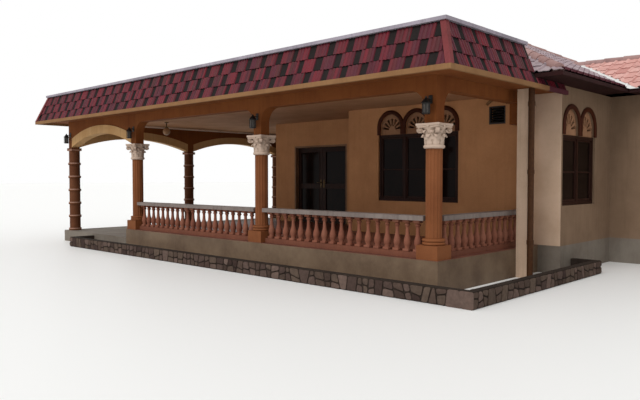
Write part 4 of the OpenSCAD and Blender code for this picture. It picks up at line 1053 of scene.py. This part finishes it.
# Bays as start, length and turn, between the plinths and up to the wall
post_half, wall_end = 0.18, 0.17
bays = [((-4.14 + post_half, front_y), 4.30 - 2 * post_half, 0.0),
        ((0.16 + post_half, front_y), 3.75 - 2 * post_half, 0.0),
        ((3.91, front_y + post_half), 2.95 - wall_end - post_half, math.pi / 2)]
baluster_foot, baluster_head, baluster_pitch = 0.56, 1.03, 0.185
block_half, foot_block, head_block = 0.054, 0.038, 0.04
tall = baluster_head - baluster_foot
vase = bmesh.new()
turned(vase, [(0.0, 0.035), (0.042, 0.035), (0.046, 0.045), (0.04, 0.06), (0.05, 0.085),
              (0.058, 0.12), (0.056, 0.16), (0.046, 0.2), (0.033, 0.245), (0.028, 0.3),
              (0.027, 0.35), (0.03, 0.375), (0.042, 0.385), (0.043, 0.4), (0.032, 0.41),
              (0.042, 0.432), (0.0, 0.432)], 14)
for z0, z1 in ((0.0, foot_block), (tall - head_block, tall)):
    add_block(vase, (-block_half, -block_half, z0), (block_half, block_half, z1), 0.004)
vase_mesh = pattern_mesh(vase, "baluster")
row = bmesh.new()
for start, length, turn in bays:
    count = math.floor(length / baluster_pitch)
    bay = Matrix.Translation((*start, baluster_foot)) @ Matrix.Rotation(turn, 4, "Z")
    for i in range(count):
        lay(row, vase_mesh, bay @ Matrix.Translation(((i + 0.5) * length / count, 0, 0)))
# Painted clay: terracotta with a lighter, dustier tint on some
clay = island_tints("painted_clay_baluster", ["7d4d3c", "865542", "744536", "8c5c49"], 0.7,
                    0.18, 30.0, 0.002)
add_piece(row, "turned_balusters", clay, ["balusters"], smooth=45)

# Windows
# Dark stained timber frames with glazed sashes; over each light an arched head is filled with
# a cast fan that lets air through, inside a heavy dark moulding.


def stained_timber(name, light, dark, roughness=0.5):
    """Dark stained hardwood: fine grain along the wood and a worn satin varnish."""
    finish, tree, shader, place = new_finish(name, roughness)
    # Grain about 4 mm across and long along Z
    along = node(tree, "ShaderNodeMapping", {"Vector": place, "Scale": (60.0, 60.0, 4.0)})
    grain = node(tree, "ShaderNodeTexNoise",
                 {"Vector": along.outputs["Vector"], "Scale": 1.0, "Detail": 6.0,
                  "Distortion": 0.6})
    tint = node(tree, "ShaderNodeValToRGB", {"Fac": grain.outputs["Fac"]},
                stops=[(0.35, dark), (0.65, light)])
    tree.links.new(tint.outputs["Color"], shader.inputs["Base Color"])
    relief = node(tree, "ShaderNodeBump",
                  {"Height": grain.outputs["Fac"], "Strength": 0.3, "Distance": 0.002})
    tree.links.new(relief.outputs["Normal"], shader.inputs["Normal"])
    return finish


# Stained hardwood: nearly black brown, drawn darker than the stain as painted shade; satin
# where the varnish is left
timber = stained_timber("stained_hardwood", "331b13", "21110c")
dress(timber, "window_frames")
# Chocolate gloss paint on the mouldings, dulled by the weather
dark_moulding = masonry_paint("dark_moulding_paint", "441d0a", "361507", "200c04", 0.3, 0.6)
dress(dark_moulding, "window_arches")
# Cream masonry paint on the fans, drawn darker than the arches as painted shade
shaded_fan_cream = masonry_paint("fan_cream_paint", "997256", "8c664c", "5b3e2b", 0.3)
dress(shaded_fan_cream, "window_fans")

# Float glass drawn as a nearly black sheet: painted shade of the dark rooms behind it, with a
# clear reflection
glass, tree, shader, place = new_finish("dark_room_glass", 0.06)
wave = node(tree, "ShaderNodeTexNoise", {"Vector": place, "Scale": 2.2, "Detail": 2.0})
room_shade = node(tree, "ShaderNodeValToRGB", {"Fac": wave.outputs["Fac"]},
            stops=[(0.35, "120907"), (0.75, "1c110e")])
tree.links.new(room_shade.outputs["Color"], shader.inputs["Base Color"])
shader.inputs["Specular IOR Level"].default_value = 0.05
dress(glass, "window_glass")

# Windows as middle of the opening, turn, lights, light width and head
windows = [((1.525, -1.71), 0.0, 3, 0.65, 2.555), ((4.51, -0.93), 90.0, 2, 0.72, 2.4),
           ((7.51, 1.82), 90.0, 2, 0.72, 2.4), ((-4.14, 1.09), -90.0, 2, 0.72, 2.4),
           ((-1.9775, 4.94), 180.0, 2, 0.72, 2.4), ((2.3475, 4.94), 180.0, 2, 0.72, 2.4)]
sill, member, stile, foot_member, wall_thick, stilt = 1.17, 0.055, 0.038, 0.05, 0.15, 0.16
sash_half, bar_half, bar_tall, bar_share = 0.026, 0.02, 0.028, 0.46


def sash(bm, x0, x1, z0, z1):
    """A sash in the middle of the wall's depth: stiles, rails and a glazing bar."""
    centre = wall_thick / 2
    bar = z0 + (z1 - z0) * bar_share
    for near, far, foot, top, half in (
            (x0, x0 + stile, z0, z1, sash_half), (x1 - stile, x1, z0, z1, sash_half),
            (x0 + stile, x1 - stile, z0, z0 + foot_member, sash_half),
            (x0 + stile, x1 - stile, z1 - stile, z1, sash_half),
            (x0 + stile, x1 - stile, bar, bar + bar_tall, bar_half)):
        add_block(bm, (near, centre - half, foot), (far, centre + half, top), 0.004)


def arch_mould(middle, half, spring):
    """A half-round moulding up one side of an arch, round it and down the other."""
    bm = bmesh.new()
    # Its section as distance out from the opening and depth in front of the wall
    bead = [(0.018, 0.0), (0.018, -0.02), (0.004, -0.034), (-0.024, -0.04),
            (-0.052, -0.034), (-0.066, -0.02), (-0.066, 0.0)]
    stations = [(0.0, spring)]
    stations += [(math.pi * k / 28, spring + stilt) for k in range(29)]
    stations += [(math.pi, spring)]
    rings = [[bm.verts.new((middle + (half + r) * math.cos(angle), y,
                            up + (half + r) * math.sin(angle))) for r, y in bead]
             for angle, up in stations]
    for one, two in zip(rings, rings[1:]):
        for j in range(len(bead)):
            bm.faces.new((one[j - 1], one[j], two[j], two[j - 1]))
    bm.faces.new(rings[0])
    bm.faces.new(rings[-1])
    bmesh.ops.recalc_face_normals(bm, faces=bm.faces)
    return bm


sashes = bmesh.new()
arch_moulds = bmesh.new()
for middle, turn, lights, light_wide, head in windows:
    place = Matrix.Translation((*middle, 0)) @ Matrix.Rotation(math.radians(turn), 4, "Z")
    clear = (lights * light_wide - (lights + 1) * member) / lights
    window = bmesh.new()
    for i in range(lights):
        left = -lights * light_wide / 2 + member + i * (clear + member)
        sash(window, left, left + clear, sill + member, head - member)
    join(sashes, window, place)
    for i in range(lights):
        across = (i + 0.5 - lights / 2) * light_wide
        mould = arch_mould(across, light_wide / 2, head)
        # Mitred where two arches meet
        for side in (-1, 1):
            if i + side in range(lights):
                cut_off(mould, (across + side * light_wide / 2, 0, 0), (side, 0, 0))
        join(arch_moulds, mould, place)
add_piece(sashes, "window_sashes", timber, smooth=30)
add_piece(arch_moulds, "arch_moulds", dark_moulding, smooth=40)

# Vent
# A square vent of folded dark sheet built into the wall, with a shallow arched hood mould of
# painted render over it.

# Galvanised sheet in old black paint, dull and dusty
dress(weathered_metal("dark_vent_sheet", "2c2826", "3a3431", 0.6, 0.5), "wall_vent")
hood = bmesh.new()
# Half its width, its rise, and the middle of its foot
reach, rise = 0.19, 0.085
hood_x, hood_y, hood_foot = 3.31, -1.71, 2.985
hood_radius = (reach ** 2 + rise ** 2) / (2 * rise)
spread = math.asin(reach / hood_radius)
centre = Vector((hood_x, hood_y, hood_foot + rise - hood_radius))
section = [(0.0, 0.0), (-0.035, 0.0), (-0.04, 0.012), (-0.035, 0.04), (0.0, 0.045)]
start = Matrix.Translation(centre) @ Matrix.Rotation(-spread, 4, "Y")
face = hood.faces.new([hood.verts.new(start @ Vector((0, y, hood_radius + r)))
                       for y, r in section])
bmesh.ops.spin(hood, geom=[face, *face.edges, *face.verts], cent=centre, axis=(0, 1, 0),
               angle=2 * spread, steps=12)
bmesh.ops.recalc_face_normals(hood, faces=hood.faces)
add_piece(hood, "vent_hood_mould", tan_edge, smooth=40)

# Rainwater pipe
# A dark plastic pipe that carries the rain from the flat roof's outlet down beside its
# rendered casing, held by clips.

pipe = bmesh.new()
pipe_x, pipe_y, pipe_r, casing_face_x = 4.37, -2.55, 0.05, 4.3
rod(pipe, Matrix.Translation((pipe_x, pipe_y, 1.555)), 3.09, pipe_r, sides=20)
for z in (0.6, 1.75, 2.85):
    rod(pipe, Matrix.Translation((pipe_x, pipe_y, z)), 0.07, pipe_r + 0.008, sides=20)
    add_block(pipe, (casing_face_x, pipe_y + 0.02, z - 0.02), (pipe_x, pipe_y + 0.045, z + 0.02))
# Brown PVC: satin, bleached in blotches by the sun
pipe_brown = weathered_metal("brown_pipe_plastic", "3d2413", "4a2e1a", 0.55, 0.0)
add_piece(pipe, "rain_pipe", pipe_brown, smooth=40)

# Doors
# Two framed and glazed hardwood leaves in a painted lining, with beads round the glass and a
# lever handle on a long plate on each leaf.

# Lining paint: a light tan gloss, worn to satin
lining_paint = masonry_paint("door_lining_paint", "8a6a50", "7a5c44", "57402e", 0.15, 0.5)
dress(lining_paint, "door_frame")
dress(timber, "door_leaf_left", "door_leaf_right")
dress(glass, "door_pane_left", "door_pane_right")

# Dark bronze: brown, blotched where the lacquer has gone
bronze = weathered_metal("dark_bronze", "5c4a30", "453826", 0.4, 1.0)
leaf_foot, leaf_thick, door_stile, top_rail = 0.486, 0.04, 0.11, 0.11
lower_foot, mid_rail, mid_half, leaf_tall = 0.176, 0.95, 0.055, 1.963
bead_half, lever_z = 0.012, 1.53


def bead_frame(bm, x0, x1, y0, y1, z0, z1):
    """Four square beads round a pane, half over the wood and half over the glass."""
    b = bead_half
    for near, far, foot, top in ((x0 - b, x1 + b, z0 - b, z0 + b),
                                 (x0 - b, x1 + b, z1 - b, z1 + b),
                                 (x0 - b, x0 + b, z0 + b, z1 - b),
                                 (x1 - b, x1 + b, z0 + b, z1 - b)):
        add_block(bm, (near, y0, foot), (far, y1, top), 0.003)


# sign is towards the leaf's meeting stile
for side, sign in (("left", 1), ("right", -1)):
    low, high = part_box(f"door_leaf_{side}")
    face_y, inside_y = low[1], low[1] + leaf_thick
    middle_z = leaf_foot + mid_rail
    beads = bmesh.new()
    for y_out, y_in in ((face_y - 0.008, face_y + 0.012), (inside_y - 0.012, inside_y + 0.006)):
        for z0, z1 in ((leaf_foot + lower_foot, middle_z - mid_half),
                       (middle_z + mid_half, leaf_foot + leaf_tall - top_rail)):
            bead_frame(beads, low[0] + door_stile, high[0] - door_stile, y_out, y_in, z0, z1)
    add_piece(beads, f"door_beads_{side}", timber, body=f"{side}_door")
    handle = bmesh.new()
    meeting = high[0] - 0.05 if sign > 0 else low[0] + 0.05
    add_block(handle, (meeting - 0.02, face_y - 0.006, 1.39), (meeting + 0.02, face_y, 1.61),
              0.002)
    # The neck stands out of the plate, and the lever points away from the meeting stile
    rod(handle, Matrix.Translation((meeting, face_y - 0.028, lever_z))
        @ Matrix.Rotation(math.pi / 2, 4, "X"), 0.05, 0.01)
    rod(handle, Matrix.Translation((meeting - sign * 0.055, face_y - 0.05, lever_z))
        @ Matrix.Rotation(-sign * math.pi / 2, 4, "Y"), 0.12, 0.011, 0.008)
    add_piece(handle, f"door_handle_{side}", bronze, body=f"{side}_door",
              smooth=40)

# Lanterns
# Six-sided cast metal lanterns with frosted panes, hung from short arms that are screwed to
# the front stubs by a small plate.

lamp = bmesh.new()
panes = bmesh.new()
lantern_y, lantern_z, arm_y, plate_y, stub_face_y = -4.87, 2.55, -4.815, -4.768, -4.76
# Tray, rim, roof and finial, as depth, radius below, radius above and middle height
castings = ((0.016, 0.05, 0.062, 0.008), (0.014, 0.062, 0.062, 0.155),
            (0.07, 0.076, 0.018, 0.197), (0.02, 0.012, 0.016, 0.24))
for x in (left_x, *[c[0] for c in columns]):
    spot = Matrix.Translation((x, lantern_y, lantern_z))
    for depth, below, above, z in castings:
        rod(lamp, spot @ Matrix.Translation((0, 0, z)), depth, below, above, 6)
    for i in range(6):
        around = Matrix.Rotation(i * math.pi / 3, 4, "Z")
        rod(lamp, spot @ around @ Matrix.Translation((0.057, 0, 0.08)), 0.15, 0.006, sides=6)
    rod(panes, spot @ Matrix.Translation((0, 0, 0.08)), 0.135, 0.052, sides=6)
    rod(lamp, Matrix.Translation((x, arm_y, lantern_z + 0.215))
        @ Matrix.Rotation(math.pi / 2, 4, "X"), 0.11, 0.009, sides=10)
    add_block(lamp, (x - 0.035, plate_y, lantern_z + 0.155),
              (x + 0.035, stub_face_y, lantern_z + 0.275), 0.003)
# Cast aluminium in black paint, chalky with age
cast_black = weathered_metal("black_cast_metal", "1f1d1c", "2e2a28", 0.5, 0.6)
add_piece(lamp, "lantern_frames", cast_black, ["lanterns"], smooth=30)
# Frosted glass, unlit: dark grey, cloudy
frosted, tree, shader, place = new_finish("frosted_lantern_glass", 0.4)
cloud = node(tree, "ShaderNodeTexNoise", {"Vector": place, "Scale": 30.0, "Detail": 4.0})
milk = node(tree, "ShaderNodeValToRGB", {"Fac": cloud.outputs["Fac"]},
            stops=[(0.35, "3c3a38"), (0.7, "5a5652")])
tree.links.new(milk.outputs["Color"], shader.inputs["Base Color"])
add_piece(panes, "lantern_panes", frosted, smooth=30)

# Ceiling globe
# A blown opal glass globe on a short metal stem, with a round plate screwed to the porch
# ceiling.

globe = bmesh.new()
centre = Vector((-5.715, -2.86, 2.89))
bmesh.ops.create_uvsphere(globe, u_segments=28, v_segments=18, radius=0.1,
                          matrix=Matrix.Translation(centre))
# Opal glass: glossy, drawn amber brown as painted shade with warm light under the porch,
# faintly clouded
opal, tree, shader, place = new_finish("opal_glass", 0.15)
swirl = node(tree, "ShaderNodeTexNoise", {"Vector": place, "Scale": 9.0, "Detail": 3.0})
amber_shade = node(tree, "ShaderNodeValToRGB", {"Fac": swirl.outputs["Fac"]},
             stops=[(0.3, "b08a68"), (0.7, "9a7555")])
tree.links.new(amber_shade.outputs["Color"], shader.inputs["Base Color"])
add_piece(globe, "opal_globe", opal, ["ceiling_lamp"], smooth=60)
# Stem, collar and ceiling plate, as height over the globe's middle, length, radii and sides
stem = bmesh.new()
for up, long, below, above, sides in ((0.165, 0.13, 0.014, 0.014, 14),
                                      (0.1, 0.03, 0.035, 0.045, 20),
                                      (0.228, 0.024, 0.05, 0.055, 24)):
    rod(stem, Matrix.Translation(centre + Vector((0, 0, up))), long, below, above, sides)
add_piece(stem, "globe_stem", bronze, smooth=40)

# Studio
# A plain pale floor that keeps the shadow, a plain world and a soft sun from the front, at
# which a colour renders about as it is written.

bpy.ops.mesh.primitive_plane_add(size=400)
studio_floor = bpy.context.object
studio_floor.name = "studio_floor"
studio_floor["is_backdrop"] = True
pale = bpy.data.materials.new("pale_floor")
pale.use_nodes = True
pale.node_tree.nodes["Principled BSDF"].inputs["Base Color"].default_value = linear("f2f2f0")
studio_floor.data.materials.append(pale)

world = bpy.data.worlds.new("studio")
bpy.context.scene.world = world
world.use_nodes = True
sky_tree = world.node_tree
sky = sky_tree.nodes["Background"]
sky.inputs["Color"].default_value = (1, 1, 1, 1)
path = node(sky_tree, "ShaderNodeLightPath")
seen = node(sky_tree, "ShaderNodeMath",
            {0: path.outputs["Is Camera Ray"], 1: path.outputs["Is Glossy Ray"]},
            operation="ADD")
seen = node(sky_tree, "ShaderNodeMath",
            {0: seen.outputs[0], 1: path.outputs["Is Transmission Ray"]},
            operation="ADD", use_clamp=True)
light = node(sky_tree, "ShaderNodeMapRange",
             {"Value": seen.outputs[0], "To Min": 0.75, "To Max": 1.0})
sky_tree.links.new(light.outputs["Result"], sky.inputs["Strength"])

sun = bpy.data.lights.new("soft_sun", "SUN")
sun.energy = 1.5
sun.angle = math.radians(25)
sun_object = bpy.data.objects.new("soft_sun", sun)
bpy.context.scene.collection.objects.link(sun_object)
sun_object.rotation_euler = (math.radians(45), 0, math.radians(5))

lens = bpy.data.cameras.new("photo_camera")
lens.lens = 36.2
lens.sensor_width = 36
lens.clip_end = 500
camera = bpy.data.objects.new("photo_camera", lens)
bpy.context.scene.collection.objects.link(camera)
camera.location = (9.11, -12.50, 1.65)
camera.rotation_euler = (math.radians(90 - 1.96), 0, math.radians(43.6))
bpy.context.scene.camera = camera
bpy.context.scene.view_settings.view_transform = "Standard"

low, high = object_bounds()
